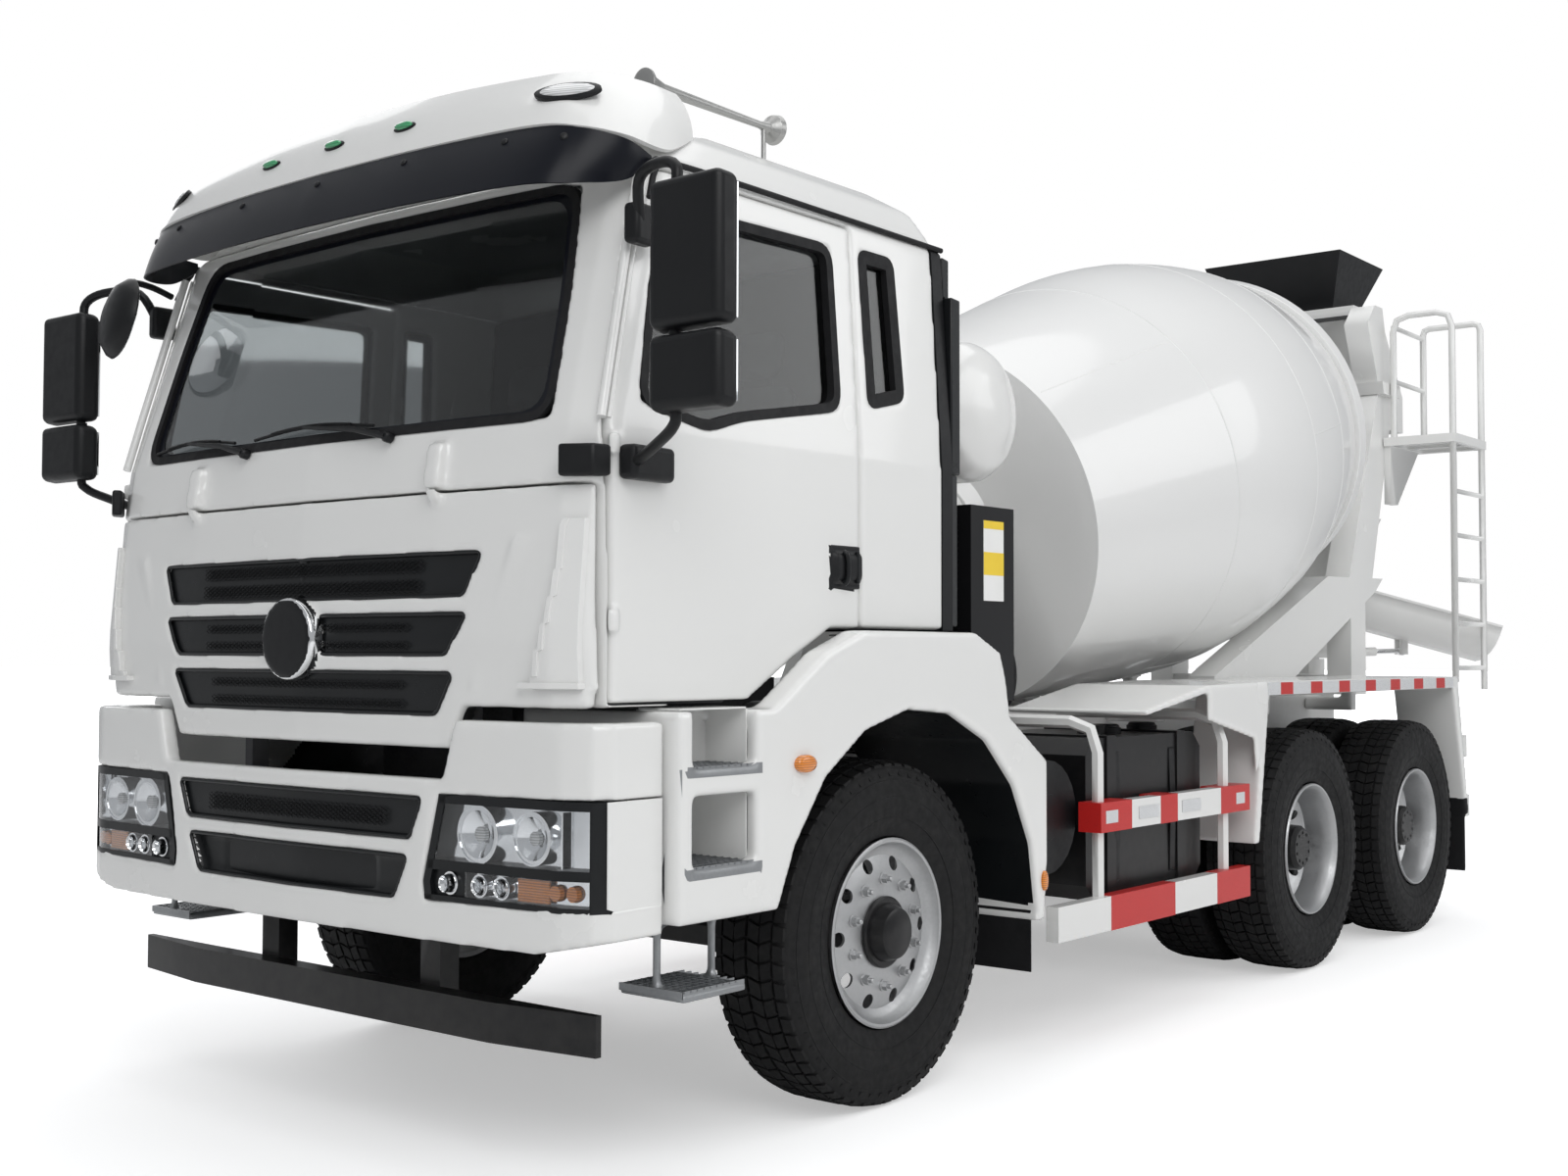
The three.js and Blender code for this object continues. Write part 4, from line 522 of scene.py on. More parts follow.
for stem, look in PAIRED_SKINS.items():
    STEEL_SKINS.update({f"{stem}_{side}": look for side in SIDES})
SOFT_EDGES = {"front_bumper": 10, "front_panel": 9, "cab_front": 9, "cab_roof": 14,
              "step_fender_left": 10, "step_fender_right": 10, "cab_side_left": 10,
              "cab_side_right": 10, "door_left": 8, "door_right": 8, "water_tank": 14,
              "rear_fender_left": 10, "rear_fender_right": 10}
skins = {node: refine(node, *look, SOFT_EDGES.get(node, 0)) for node, look in STEEL_SKINS.items()}
print(len(skins), "solids have a joined skin")

# %% [markdown]
# New pieces are built from a few kinds of solid: a turned ring, a bent bar, a thick plate and a
# box. `Shape` gathers them in millimetres from the front axle, and `done` makes them one piece
# at its place in the frame, with its faces outwards.

# %% Build new pieces
class Shape:
    def __init__(self):
        self.mesh = bmesh.new()

    def loft(self, rings, closed=False, caps=True):
        """Joins rings of points, each with as many points as the next, by faces."""
        rows = [[self.mesh.verts.new(point) for point in ring] for ring in rings]
        pairs = list(zip(rows, rows[1:] + rows[:1])) if closed else list(zip(rows, rows[1:]))
        for first, second in pairs:
            for i in range(len(first)):
                j = (i + 1) % len(first)
                self.mesh.faces.new((first[i], first[j], second[j], second[i]))
        if caps and not closed:
            self.mesh.faces.new(rows[0][::-1])
            self.mesh.faces.new(rows[-1])
        return self

    def turn(self, profile, centre, axis=(1, 0, 0), steps=64):
        """Turns (along, radius) pairs about an axis. The profile is a closed loop."""
        axis = Vector(axis).normalized()
        side = axis.orthogonal().normalized()
        up = axis.cross(side)
        rings = []
        for i in range(steps):
            angle = 2 * math.pi * i / steps
            out = side * math.cos(angle) + up * math.sin(angle)
            rings.append([Vector(centre) + axis * along + out * radius
                          for along, radius in profile])
        return self.loft(rings, closed=True)

    def bar(self, points, radius, sides=12):
        points = [Vector(point) for point in points]
        rings = []
        normal = None
        for i, point in enumerate(points):
            ahead = (points[min(i + 1, len(points) - 1)] - points[max(i - 1, 0)]).normalized()
            normal = ahead.orthogonal() if normal is None else normal - ahead * normal.dot(ahead)
            normal.normalize()
            other = ahead.cross(normal)
            size = radius[i] if isinstance(radius, (list, tuple)) else radius
            rings.append([point + (normal * math.cos(2 * math.pi * k / sides)
                                   + other * math.sin(2 * math.pi * k / sides)) * size
                          for k in range(sides)])
        return self.loft(rings)

    def rod(self, start, end, radius, sides=24, round_by=1.5):
        start, end = Vector(start), Vector(end)
        along = (end - start).normalized() * round_by
        return self.bar([start, start + along, end - along, end],
                        [radius - round_by, radius, radius, radius - round_by], sides)

    def plate(self, outline, lift):
        """A plate between an outline of points and the same outline moved by lift."""
        lift = Vector(lift)
        return self.loft([[Vector(point) for point in outline],
                          [Vector(point) + lift for point in outline]])

    def box(self, x, y, z):
        return self.plate([(x[0], y[0], z[0]), (x[1], y[0], z[0]), (x[1], y[1], z[0]),
                           (x[0], y[1], z[0])],
                          (0, 0, z[1] - z[0]))

    def mirrored(self, side):
        if side < 0:
            bmesh.ops.scale(self.mesh, vec=(-1, 1, 1), verts=self.mesh.verts)
        return self

    def done(self, name, finish, body, slot, angle=38, edge=0, segments=2):
        for vertex in self.mesh.verts:
            vertex.co = spot(*vertex.co)
        bmesh.ops.recalc_face_normals(self.mesh, faces=self.mesh.faces)
        mesh = bpy.data.meshes.new(name)
        self.mesh.to_mesh(mesh)
        self.mesh.free()
        shade(mesh, angle)
        piece = link(name, mesh, finish)
        if edge:
            rounding = piece.modifiers.new("edges", "BEVEL")
            rounding.width = edge * MM
            rounding.segments = segments
            rounding.angle_limit = math.radians(angle)
        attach(piece, body)
        return piece


print("shape helpers ready")

# %% [markdown]
# The drum is a pair of cones and a short barrel, rolled from plate and welded in rings. Turning a
# smooth profile about the tilted axis gives the true round skin. The welds stand a few
# millimetres proud, and the seams of the rolled plates run along it, each ring at its own angle.

# %% Drum
DRUM_TILT = math.radians(13.65)
DRUM_AXIS = Vector((0, math.cos(DRUM_TILT), math.sin(DRUM_TILT)))
DRUM_HEAD = Vector((0, 1913, 1962))
DRUM_LINE = [(0, 810), (1050, 972), (1450, 1028), (1820, 1038), (2280, 990), (2800, 862),
             (3250, 728), (3500, 600)]
DRUM_WALL = 14
WELD_RINGS = (1050, 1820, 2280, 3250)
TRACK_AT = 2840
TRACK_RADIUS = 890


def drum_radius(along):
    """The skin's radius: a smooth curve through the places where the rings are welded."""
    points = DRUM_LINE
    k = max(i for i, (a, _) in enumerate(points[:-1]) if a <= along)
    (a1, r1), (a2, r2) = points[k], points[k + 1]
    a0, r0 = points[max(k - 1, 0)]
    a3, r3 = points[min(k + 2, len(points) - 1)]
    t = (along - a1) / (a2 - a1)
    slope1 = (r2 - r0) / max(a2 - a0, 1) * (a2 - a1)
    slope2 = (r3 - r1) / max(a3 - a1, 1) * (a2 - a1)
    return ((2 * t ** 3 - 3 * t ** 2 + 1) * r1 + (t ** 3 - 2 * t ** 2 + t) * slope1
            + (3 * t ** 2 - 2 * t ** 3) * r2 + (t ** 3 - t ** 2) * slope2)


def drum_point(along, angle, lift=0):
    side = Vector((1, 0, 0))
    up = DRUM_AXIS.cross(side)
    out = side * math.cos(angle) + up * math.sin(angle)
    return DRUM_HEAD + DRUM_AXIS * along + out * (drum_radius(along) + lift)


skin_line = [(a, drum_radius(a)) for a in range(0, 3500, 70)] + [(3500, DRUM_LINE[-1][1])]
wall_line = [(max(a, DRUM_WALL), r - DRUM_WALL) for a, r in reversed(skin_line)]
drum = Shape()
drum.turn([(-58, 0.5), (-58, 250), (-8, 300), (-8, 740), (-2, 790)] + skin_line + wall_line
          + [(DRUM_WALL, 0.5)], DRUM_HEAD, DRUM_AXIS, 144)
for along in WELD_RINGS:
    radius = drum_radius(along)
    bead = [(along + 7 * math.cos(a), radius - 1 + 3.2 * math.sin(a)) for a in
            (2 * math.pi * i / 8 for i in range(8))]
    drum.turn(bead, DRUM_HEAD, DRUM_AXIS, 144)
for index, (start, stop) in enumerate(zip((40,) + WELD_RINGS, WELD_RINGS + (3480,))):
    for turn in range(2):
        angle = 2.4 + 1.9 * index + math.pi * turn
        line = [drum_point(start + (stop - start) * i / 10, angle, -1) for i in range(11)]
        drum.bar(line, 3, 6)
drum.turn([(TRACK_AT - 45, 835), (TRACK_AT - 45, 886), (TRACK_AT - 41, TRACK_RADIUS - 1),
           (TRACK_AT + 41, TRACK_RADIUS - 1),
           (TRACK_AT + 45, 886), (TRACK_AT + 45, 835)], DRUM_HEAD, DRUM_AXIS, 144)
drum_piece = drum.done("drum_shell", DRUM_ENAMEL, "drum", "paint", 32)
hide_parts("mixer_drum")
print("drum turned with", len(WELD_RINGS), "welds")

# %% [markdown]
# Inside the drum two spiral blades lift the concrete. Each is a plain strip that winds a little
# over twice along the wall and stands inwards. Only the last turn can be seen through the mouth.

# %% Drum blades
BLADE_DEPTH = 190
BLADE_STEPS = 90
blades = Shape()
for start in (0, math.pi):
    rings = []
    for i in range(BLADE_STEPS + 1):
        along = 300 + 3100 * i / BLADE_STEPS
        angle = start + 2 * math.pi * 2.2 * i / BLADE_STEPS
        outer = drum_point(along, angle, -DRUM_WALL - 2)
        inner = drum_point(along, angle, -DRUM_WALL - BLADE_DEPTH)
        rings.append([outer, inner, inner + DRUM_AXIS * 8, outer + DRUM_AXIS * 8])
    blades.loft(rings)
blades.done("drum_blades", BARE_STEEL, "drum", "paint", 40)
print("two blades of", BLADE_DEPTH, "mm")

# %% [markdown]
# Wheel nuts, hub bolts, tread blocks, grating bars, cooler fins and grille diamonds all repeat.
# One Geometry Nodes tree turns copies of a template round an axle, and another sets copies out in
# a row. Both end in real geometry with the finish set, so nothing depends on instances later.

# %% Trees for what repeats
def copies_tree(name, numbers, build):
    tree = bpy.data.node_groups.new(name, "GeometryNodeTree")
    tree.interface.new_socket("Geometry", in_out="OUTPUT", socket_type="NodeSocketGeometry")
    tree.interface.new_socket("Template", in_out="INPUT", socket_type="NodeSocketObject")
    tree.interface.new_socket("Material", in_out="INPUT", socket_type="NodeSocketMaterial")
    tree.interface.new_socket("Count", in_out="INPUT", socket_type="NodeSocketInt")
    for label, kind in numbers.items():
        tree.interface.new_socket(label, in_out="INPUT", socket_type=kind)
    entry = tree.nodes.new("NodeGroupInput")
    line = tree.nodes.new("GeometryNodeMeshLine")
    template = tree.nodes.new("GeometryNodeObjectInfo")
    place = tree.nodes.new("GeometryNodeInstanceOnPoints")
    real = tree.nodes.new("GeometryNodeRealizeInstances")
    paint = tree.nodes.new("GeometryNodeSetMaterial")
    leave = tree.nodes.new("NodeGroupOutput")
    join = tree.links.new
    join(entry.outputs["Count"], line.inputs["Count"])
    join(entry.outputs["Template"], template.inputs["Object"])
    join(line.outputs["Mesh"], place.inputs["Points"])
    join(template.outputs["Geometry"], place.inputs["Instance"])
    build(tree, entry, line, place)
    join(place.outputs["Instances"], real.inputs["Geometry"])
    join(real.outputs["Geometry"], paint.inputs["Geometry"])
    join(entry.outputs["Material"], paint.inputs["Material"])
    join(paint.outputs["Geometry"], leave.inputs["Geometry"])
    return tree


def turn_round(tree, entry, line, place):
    """Each copy is turned about X by its number times a full turn over the count."""
    line.inputs["Offset"].default_value = (0, 0, 0)
    index = tree.nodes.new("GeometryNodeInputIndex")
    share = tree.nodes.new("ShaderNodeMath")
    share.operation = "DIVIDE"
    angle = tree.nodes.new("ShaderNodeMath")
    angle.operation = "MULTIPLY"
    angle.inputs[1].default_value = 2 * math.pi
    turn = tree.nodes.new("ShaderNodeCombineXYZ")
    tree.links.new(index.outputs[0], share.inputs[0])
    tree.links.new(entry.outputs["Count"], share.inputs[1])
    tree.links.new(share.outputs[0], angle.inputs[0])
    tree.links.new(angle.outputs[0], turn.inputs["X"])
    tree.links.new(turn.outputs["Vector"], place.inputs["Rotation"])


def set_in_row(tree, entry, line, place):
    """Each copy stands one step further along."""
    tree.links.new(entry.outputs["Step"], line.inputs["Offset"])


RING_TREE = copies_tree("copies_in_a_ring", {}, turn_round)
ROW_TREE = copies_tree("copies_in_a_row", {"Step": "NodeSocketVector"}, set_in_row)


def grow(tree, template, finish, **values):
    """The plain mesh that a tree makes from a template Shape, still in millimetres."""
    bmesh.ops.recalc_face_normals(template.mesh, faces=template.mesh.faces)
    source_mesh = bpy.data.meshes.new("template")
    template.mesh.to_mesh(source_mesh)
    template.mesh.free()
    source = bpy.data.objects.new("template", source_mesh)
    host = bpy.data.objects.new("host", bpy.data.meshes.new("host"))
    scene.collection.objects.link(source)
    scene.collection.objects.link(host)
    modifier = host.modifiers.new("copies", "NODES")
    modifier.node_group = tree
    values.update(Template=source, Material=finish.material)
    for item in tree.interface.items_tree:
        if item.in_out == "INPUT":
            modifier[item.identifier] = values[item.name]
    host.update_tag()
    bpy.context.view_layer.update()
    mesh = result_of(host)
    bpy.data.objects.remove(host)
    bpy.data.objects.remove(source)
    return mesh


def ring_of(template, count, finish):
    return grow(RING_TREE, template, finish, Count=count)


def row_of(template, count, step, finish):
    return grow(ROW_TREE, template, finish, Count=count, Step=step)


def added(shape, mesh):
    """Adds a mesh to a Shape and gives its new vertices."""
    known = len(shape.mesh.verts)
    shape.mesh.from_mesh(mesh)
    shape.mesh.verts.ensure_lookup_table()
    return shape.mesh.verts[known:]


def add_mesh(shape, mesh, offset=(0, 0, 0)):
    """Adds a grown mesh to a Shape, moved by offset."""
    bmesh.ops.translate(shape.mesh, vec=offset, verts=added(shape, mesh))
    return shape


test_row = row_of(Shape().box((0, 4), (0, 4), (0, 4)), 5, (10.0, 0.0, 0.0), BARE_STEEL)
print("a row of five boxes has", len(test_row.polygons), "faces")

# %% [markdown]
# A truck tyre has a barrel-shaped side wall with moulded rings, and a tread of ribs cut by
# zigzag grooves. The carcass is turned, and one pitch of the tread, four centre blocks and two
# shoulder lugs, is set round it sixty times. The block corners are offset, which makes the zigzag.

# %% Tyres
TREAD_PITCHES = 60
TREAD_DEPTH = 13
TYRE_HALF = 150
RIM_SEAT = 294
TYRE_LINE = [(112, RIM_SEAT), (124, 302), (128, 318), (137, 345), (145, 378), (149, 412),
             (149, 440), (146, 462), (143, 486), (139, 508), (133, 520)]
SIDE_RINGS = [(141, 360), (150.0, 425), (144, 478)]


def tread_pitch():
    """The blocks of one pitch, standing at the top of the tyre."""
    pitch = Shape()
    top = TYRE_RADIUS / MM
    base = top - TREAD_DEPTH
    half = math.pi * top / TREAD_PITCHES * 0.84
    skew = 7
    for low, high, lean in ((-92, -52, 1), (-44, -4, -1), (4, 44, 1), (52, 92, -1)):
        crown = 2.0 if abs(low + high) > 100 else 0.4
        outline = [(low, -half + skew * lean, base), (high, -half - skew * lean, base),
                   (high + 3 * lean, 0, base), (high, half - skew * lean, base),
                   (low, half + skew * lean, base), (low + 3 * lean, 0, base)]
        pitch.plate(outline, (0, 0, TREAD_DEPTH - crown))
    for lean in (-1, 1):
        shoulder = [(lean * 99, -half, base), (lean * 134, -half * 0.8, base - 14),
                    (lean * 134, half * 0.8, base - 14), (lean * 99, half, base)]
        crest = [(lean * 99, -half, top - 3.5), (lean * 131, -half * 0.8, top - 11),
                 (lean * 131, half * 0.8, top - 11), (lean * 99, half, top - 3.5)]
        pitch.loft([shoulder, crest])
        pitch.loft([[(lean * 129, -half * 0.5, base - 12), (lean * 141, -half * 0.4, 494),
                     (lean * 141, half * 0.4, 494), (lean * 129, half * 0.5, base - 12)],
                    [(lean * 131, -half * 0.5, base - 4), (lean * 146, -half * 0.4, 492),
                     (lean * 146, half * 0.4, 492), (lean * 131, half * 0.5, base - 4)]])
    return pitch


TREAD = ring_of(tread_pitch(), TREAD_PITCHES, TYRE_RUBBER)


def add_tyre(shape, centre_x, y):
    centre = (centre_x, y, AXLE_Z / MM)
    base = TYRE_RADIUS / MM - TREAD_DEPTH
    outer = TYRE_LINE + [(126, base - 2), (95, base + 1)]
    cavity = [(-96, RIM_SEAT + 8), (-122, 380), (-120, 490), (120, 490), (122, 380),
              (96, RIM_SEAT + 8)]
    shape.turn([(a, r) for a, r in outer] + [(-a, r) for a, r in reversed(outer)] + cavity, centre,
               steps=96)
    for sign in (-1, 1):
        for along, radius in SIDE_RINGS:
            along = min(along, TYRE_HALF - 1.2) * sign
            ring = [(along + 1.4 * math.cos(a), radius + 2.2 * math.sin(a)) for a in
                    (2 * math.pi * i / 6 for i in range(6))]
            shape.turn(ring, centre, steps=96)
    add_mesh(shape, TREAD, centre)


FRONT_WHEEL_X = middle("front_tyre_left").x / MM
REAR_OUTER_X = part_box("rear_wheel_1_left")[1].x / MM - TYRE_HALF
REAR_INNER_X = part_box("rear_wheel_1_left")[0].x / MM + TYRE_HALF
for side, sign in SIDES.items():
    tyre = Shape()
    add_tyre(tyre, sign * FRONT_WHEEL_X, 0)
    rubber = tyre.done(f"tyre_front_{side}", TYRE_RUBBER, f"front_wheel_{side}", "tyre", 40)
    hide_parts(f"front_tyre_{side}")
    for axle in (1, 2):
        axle_y = (middle(f"rear_wheel_{axle}_{side}").y - AXLE_Y) / MM
        twins = Shape()
        add_tyre(twins, sign * REAR_OUTER_X, axle_y)
        add_tyre(twins, sign * REAR_INNER_X, axle_y)
        twins.done(f"tyres_rear_{axle}_{side}", TYRE_RUBBER, f"rear_wheel_{axle}_{side}", "tyre",
                   40)
print("ten tyres of", TREAD_PITCHES, "pitches")

# %% [markdown]
# The front wheels are pressed steel discs, dished outwards, with ten round hand holes near the
# rim and ten nuts round a black hub. The rear discs are dished the other way, so the hub stands
# out of a deep bowl. A Boolean cuts the holes out of the turned disc, and is applied at once.

# %% Wheels
HAND_HOLES = 10
NUTS = 10


def bored(shape, name, holes):
    """The shape's mesh with holes cut out, still in millimetres."""
    meshes = []
    for label, part in (("body", shape), ("holes", holes)):
        bmesh.ops.recalc_face_normals(part.mesh, faces=part.mesh.faces)
        mesh = bpy.data.meshes.new(f"{name}_{label}")
        part.mesh.to_mesh(mesh)
        part.mesh.free()
        meshes.append(bpy.data.objects.new(mesh.name, mesh))
        scene.collection.objects.link(meshes[-1])
    body, tool = meshes
    cutter = body.modifiers.new("holes", "BOOLEAN")
    cutter.operation = "DIFFERENCE"
    cutter.object = tool
    cutter.solver = "EXACT"
    bpy.context.view_layer.update()
    result = result_of(body)
    for used in (body, tool):
        bpy.data.objects.remove(used)
    cut_shape = Shape()
    cut_shape.mesh.from_mesh(result)
    return cut_shape


def nut():
    """One wheel nut on its stud, standing above the axle at the bolt circle, facing +X."""
    made = Shape()
    hexagon = [(0, 15 * math.cos(a), 168 + 15 * math.sin(a))
               for a in (math.pi / 3 * i for i in range(6))]
    made.turn([(0, 0.5), (0, 19), (4, 19), (5, 16), (5, 0.5)], (0, 0, 168), steps=20)
    made.plate([(5, y, z) for _, y, z in hexagon], (17, 0, 0))
    made.turn([(20, 0.4), (20, 8), (34, 8), (36, 6.5), (36, 0.4)], (0, 0, 168), steps=12)
    return made


NUT_RING = ring_of(nut(), NUTS, WHEEL_SILVER)


def disc_wheel(rim_line, hole_x, hole_radius, name):
    disc = Shape().turn(rim_line, (0, 0, 0), steps=120)
    holes = Shape()
    for i in range(HAND_HOLES):
        angle = 2 * math.pi * (i + 0.5) / HAND_HOLES
        centre = Vector((hole_x, 219 * math.sin(angle), 219 * math.cos(angle)))
        holes.rod(centre - Vector((90, 0, 0)), centre + Vector((90, 0, 0)), hole_radius, 24)
    return bored(disc, name, holes)


FRONT_DISC = [(112, 62), (112, 172), (110, 190), (104, 216), (96, 240), (104, 262), (118, 274),
              (136, 282), (138, 290),
              (134, 296), (120, 292), (108, 281), (-108, 281), (-116, 292), (-121, 292),
              (-116, 276), (-96, 268), (84, 262), (90, 246), (96, 214), (102, 186), (102, 62)]
REAR_DISC = [(-58, 62), (-58, 176), (-50, 196), (-20, 240), (-4, 256), (60, 262), (108, 268),
             (124, 276), (134, 283),
             (135, 291), (128, 294), (116, 290), (104, 281), (-108, 281), (-118, 290), (-118, 276),
             (-60, 262), (-34, 252), (-64, 196), (-72, 176), (-72, 62)]


def mesh_of(shape):
    mesh = bpy.data.meshes.new("part")
    shape.mesh.to_mesh(mesh)
    shape.mesh.free()
    return mesh


FRONT_DISC_MESH = mesh_of(disc_wheel(FRONT_DISC, 104, 23, "front_disc"))
REAR_DISC_MESH = mesh_of(disc_wheel(REAR_DISC, -40, 23, "rear_disc"))
FRONT_HUB = [(104, 0.5), (104, 112), (122, 112), (126, 106), (126, 92), (150, 86), (168, 78),
             (174, 66), (174, 0.5)]
REAR_HUB = [(-60, 0.5), (-60, 122), (-46, 122), (-42, 112), (0, 104), (70, 100), (80, 92), (88, 84),
            (88, 0.5)]


def hub_bolt(x, radius, size):
    return Shape().rod((x, 0, radius), (x + 8, 0, radius), size, 6, 0.8)


FRONT_HUB_BOLTS = ring_of(hub_bolt(146, 60, 7), 6, BLACK_ENAMEL)
REAR_HUB_BOLTS = ring_of(hub_bolt(80, 68, 9), 10, BLACK_ENAMEL)


def place_mesh(shape, mesh, centre, sign):
    """Adds a mesh that faces +X at a wheel's centre, turned to face outwards."""
    moved = added(shape, mesh)
    if sign < 0:
        bmesh.ops.rotate(shape.mesh, verts=moved, cent=(0, 0, 0),
                         matrix=Matrix.Rotation(math.pi, 3, "Z"))
    bmesh.ops.translate(shape.mesh, vec=centre, verts=moved)


def wheel(name, body, centre, sign, disc_mesh, nut_x, hub_line, bolts, replaced):
    disc = Shape()
    place_mesh(disc, disc_mesh, centre, sign)
    disc_piece = disc.done(f"{name}_disc", WHEEL_SILVER, body, "wheel", 30)
    nuts = Shape()
    place_mesh(nuts, NUT_RING, Vector(centre) + Vector((nut_x * sign, 0, 0)), sign)
    nuts.done(f"{name}_nuts", WHEEL_SILVER, body, "wheel", 30)
    hub = Shape().turn(hub_line, (0, 0, 0), steps=64)
    hub_mesh = mesh_of(hub)
    whole = Shape()
    place_mesh(whole, hub_mesh, centre, sign)
    place_mesh(whole, bolts, centre, sign)
    whole.done(f"{name}_hub", BLACK_ENAMEL, body, "dark_metal", 30)
    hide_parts(replaced)


for side, sign in SIDES.items():
    wheel(f"wheel_front_{side}", f"front_wheel_{side}", (sign * FRONT_WHEEL_X, 0, AXLE_Z / MM),
          sign, FRONT_DISC_MESH, 111, FRONT_HUB, FRONT_HUB_BOLTS, f"front_wheel_{side}")
    for axle in (1, 2):
        axle_y = (middle(f"rear_wheel_{axle}_{side}").y - AXLE_Y) / MM
        wheel(f"wheel_rear_{axle}_{side}", f"rear_wheel_{axle}_{side}",
              (sign * REAR_OUTER_X, axle_y, AXLE_Z / MM), sign, REAR_DISC_MESH, -59, REAR_HUB,
              REAR_HUB_BOLTS, f"rear_wheel_{axle}_{side}")
        inner = Shape()
        flipped = Shape()
        place_mesh(flipped, REAR_DISC_MESH, (0, 0, 0), -sign)
        place_mesh(inner, mesh_of(flipped), (sign * REAR_INNER_X, axle_y, AXLE_Z / MM), 1)
        inner.done(f"wheel_rear_{axle}_{side}_inner_disc", WHEEL_SILVER,
                   f"rear_wheel_{axle}_{side}", "wheel", 30)
print("wheels with", NUTS, "nuts and", HAND_HOLES, "hand holes")

# %% [markdown]
# The cab and the bumper are bowed: their fronts fall back towards the corners, and the cab leans
# back above the grille. What is let into such a front has to follow it, so the two surfaces are
# written as functions, and every panel, lens and net below takes its depth from them.

# %% Bowed fronts
CAB_LEVELS = [(1150, 1140, -1415), (1450, 1150, -1430), (1860, 1150, -1395), (2020, 1150, -1375),
              (2740, 1105, -1170), (2880, 1020, -1050), (2947, 920, -810)]
BUMPER_HALF = 1200
BUMPER_FRONT = -1450


def between(table, at):
    """The row of a table at a first value, with straight lines between rows."""
    at = min(max(at, table[0][0]), table[-1][0])
    for low, high in zip(table, table[1:]):
        if at <= high[0]:
            share = (at - low[0]) / (high[0] - low[0])
            return [a + (b - a) * share for a, b in zip(low, high)]
    return list(table[-1])


def bow(x, half):
    """How far the front falls back at a distance from the middle."""
    return between([(0, 0), (0.5 * half, 18), (half - 115, 50), (half - 30, 85), (half, 135)],
                   abs(x))[1]


def cab_y(x, z):
    _, half, front = between(CAB_LEVELS, z)
    return front + bow(x, half)


def bumper_y(x, z):
    return BUMPER_FRONT + bow(x, BUMPER_HALF)


def patch(shape, rows, surface, depth, thick, columns=24):
    """A plate that follows a surface. rows are (z, left x, right x) from the bottom up."""
    rings = []
    for z, left, right in rows:
        xs = [left + (right - left) * i / columns for i in range(columns + 1)]
        front = [(x, surface(x, z) + depth, z) for x in xs]
        back = [(x, surface(x, z) + depth + thick, z) for x in reversed(xs)]
        rings.append(front + back)
    return shape.loft(rings)


def slot_rows(low, high, half_low, half_high, corner=12, steps=10):
    """Rows of an opening with slanted sides and round corners."""
    rows = []
    for i in range(steps + 1):
        z = low + (high - low) * i / steps
        half = half_low + (half_high - half_low) * i / steps
        edge = min(z - low, high - z)
        if edge < corner:
            half -= corner - math.sqrt(max(corner ** 2 - (corner - edge) ** 2, 0))
        rows.append((z, -half, half))
    return rows


def repaint(piece, finish, test):
    """Gives another finish to the faces whose middle passes a test, in mm from the axle."""
    piece.data.materials.append(finish.material)
    index = len(piece.data.materials) - 1
    for face in piece.data.polygons:
        x, y, z = face.center
        if test(x / MM, (y - AXLE_Y) / MM, z / MM):
            face.material_index = index


print("cab front at the badge:", round(cab_y(0, 1455)), "bumper corner:",
      round(bumper_y(1200, 900)))

# %% [markdown]
# Each grille opening is filled by a satin black tray with a rolled lip, and two bands of diamond
# net. One diamond is a template of four thin bars, the row tree repeats it across the truck, and
# the net is then bent to the bow of the front, as the pressed net on the real grille is.

# %% Grille trays and nets
DIAMOND = (24, 13)
WIRE = 1.8


def diamond():
    made = Shape()
    wide, high = DIAMOND
    for sx in (-1, 1):
        for sz in (-1, 1):
            a, b = Vector((sx * wide / 2, 0, 0)), Vector((0, 0, sz * high / 2))
            out = Vector((sx * high, 0, sz * wide)).normalized() * WIRE / 2
            made.plate([a - out, b - out, b + out, a + out], (0, 2.5, 0))
    return made


def net(shape, low, high, half, surface, depth, finish):
    wide, tall = DIAMOND
    count = int(2 * half / wide)
    row = row_of(diamond(), count, (float(wide), 0.0, 0.0), finish)
    levels = int((high - low) / tall)
    for level in range(levels):
        known = len(shape.mesh.verts)
        add_mesh(shape, row, (-wide * (count - 1) / 2, depth, low + tall * (level + 0.5)))
        for vertex in shape.mesh.verts[known:]:
            vertex.co.y += surface(vertex.co.x, vertex.co.z)
        if level < levels - 1:
            known = len(shape.mesh.verts)
            add_mesh(shape, row,
                     (-wide * (count - 1) / 2 + wide / 2, depth, low + tall * (level + 1)))
            for vertex in shape.mesh.verts[known:]:
                vertex.co.y += surface(vertex.co.x, vertex.co.z)


def lip(shape, rows, surface, depth, radius):
    """A rolled edge round an opening."""
    left = [(x, surface(x, z) + depth, z) for z, x, _ in rows]
    right = [(x, surface(x, z) + depth, z) for z, _, x in rows]
    for z_row in (rows[0], rows[-1]):
        z, low, high = z_row
        line = [(low + (high - low) * i / 24, surface(low + (high - low) * i / 24, z) + depth, z)
                for i in range(25)]
        shape.bar(line, radius, 8)
    shape.bar(left, radius, 8)
    shape.bar(right, radius, 8)


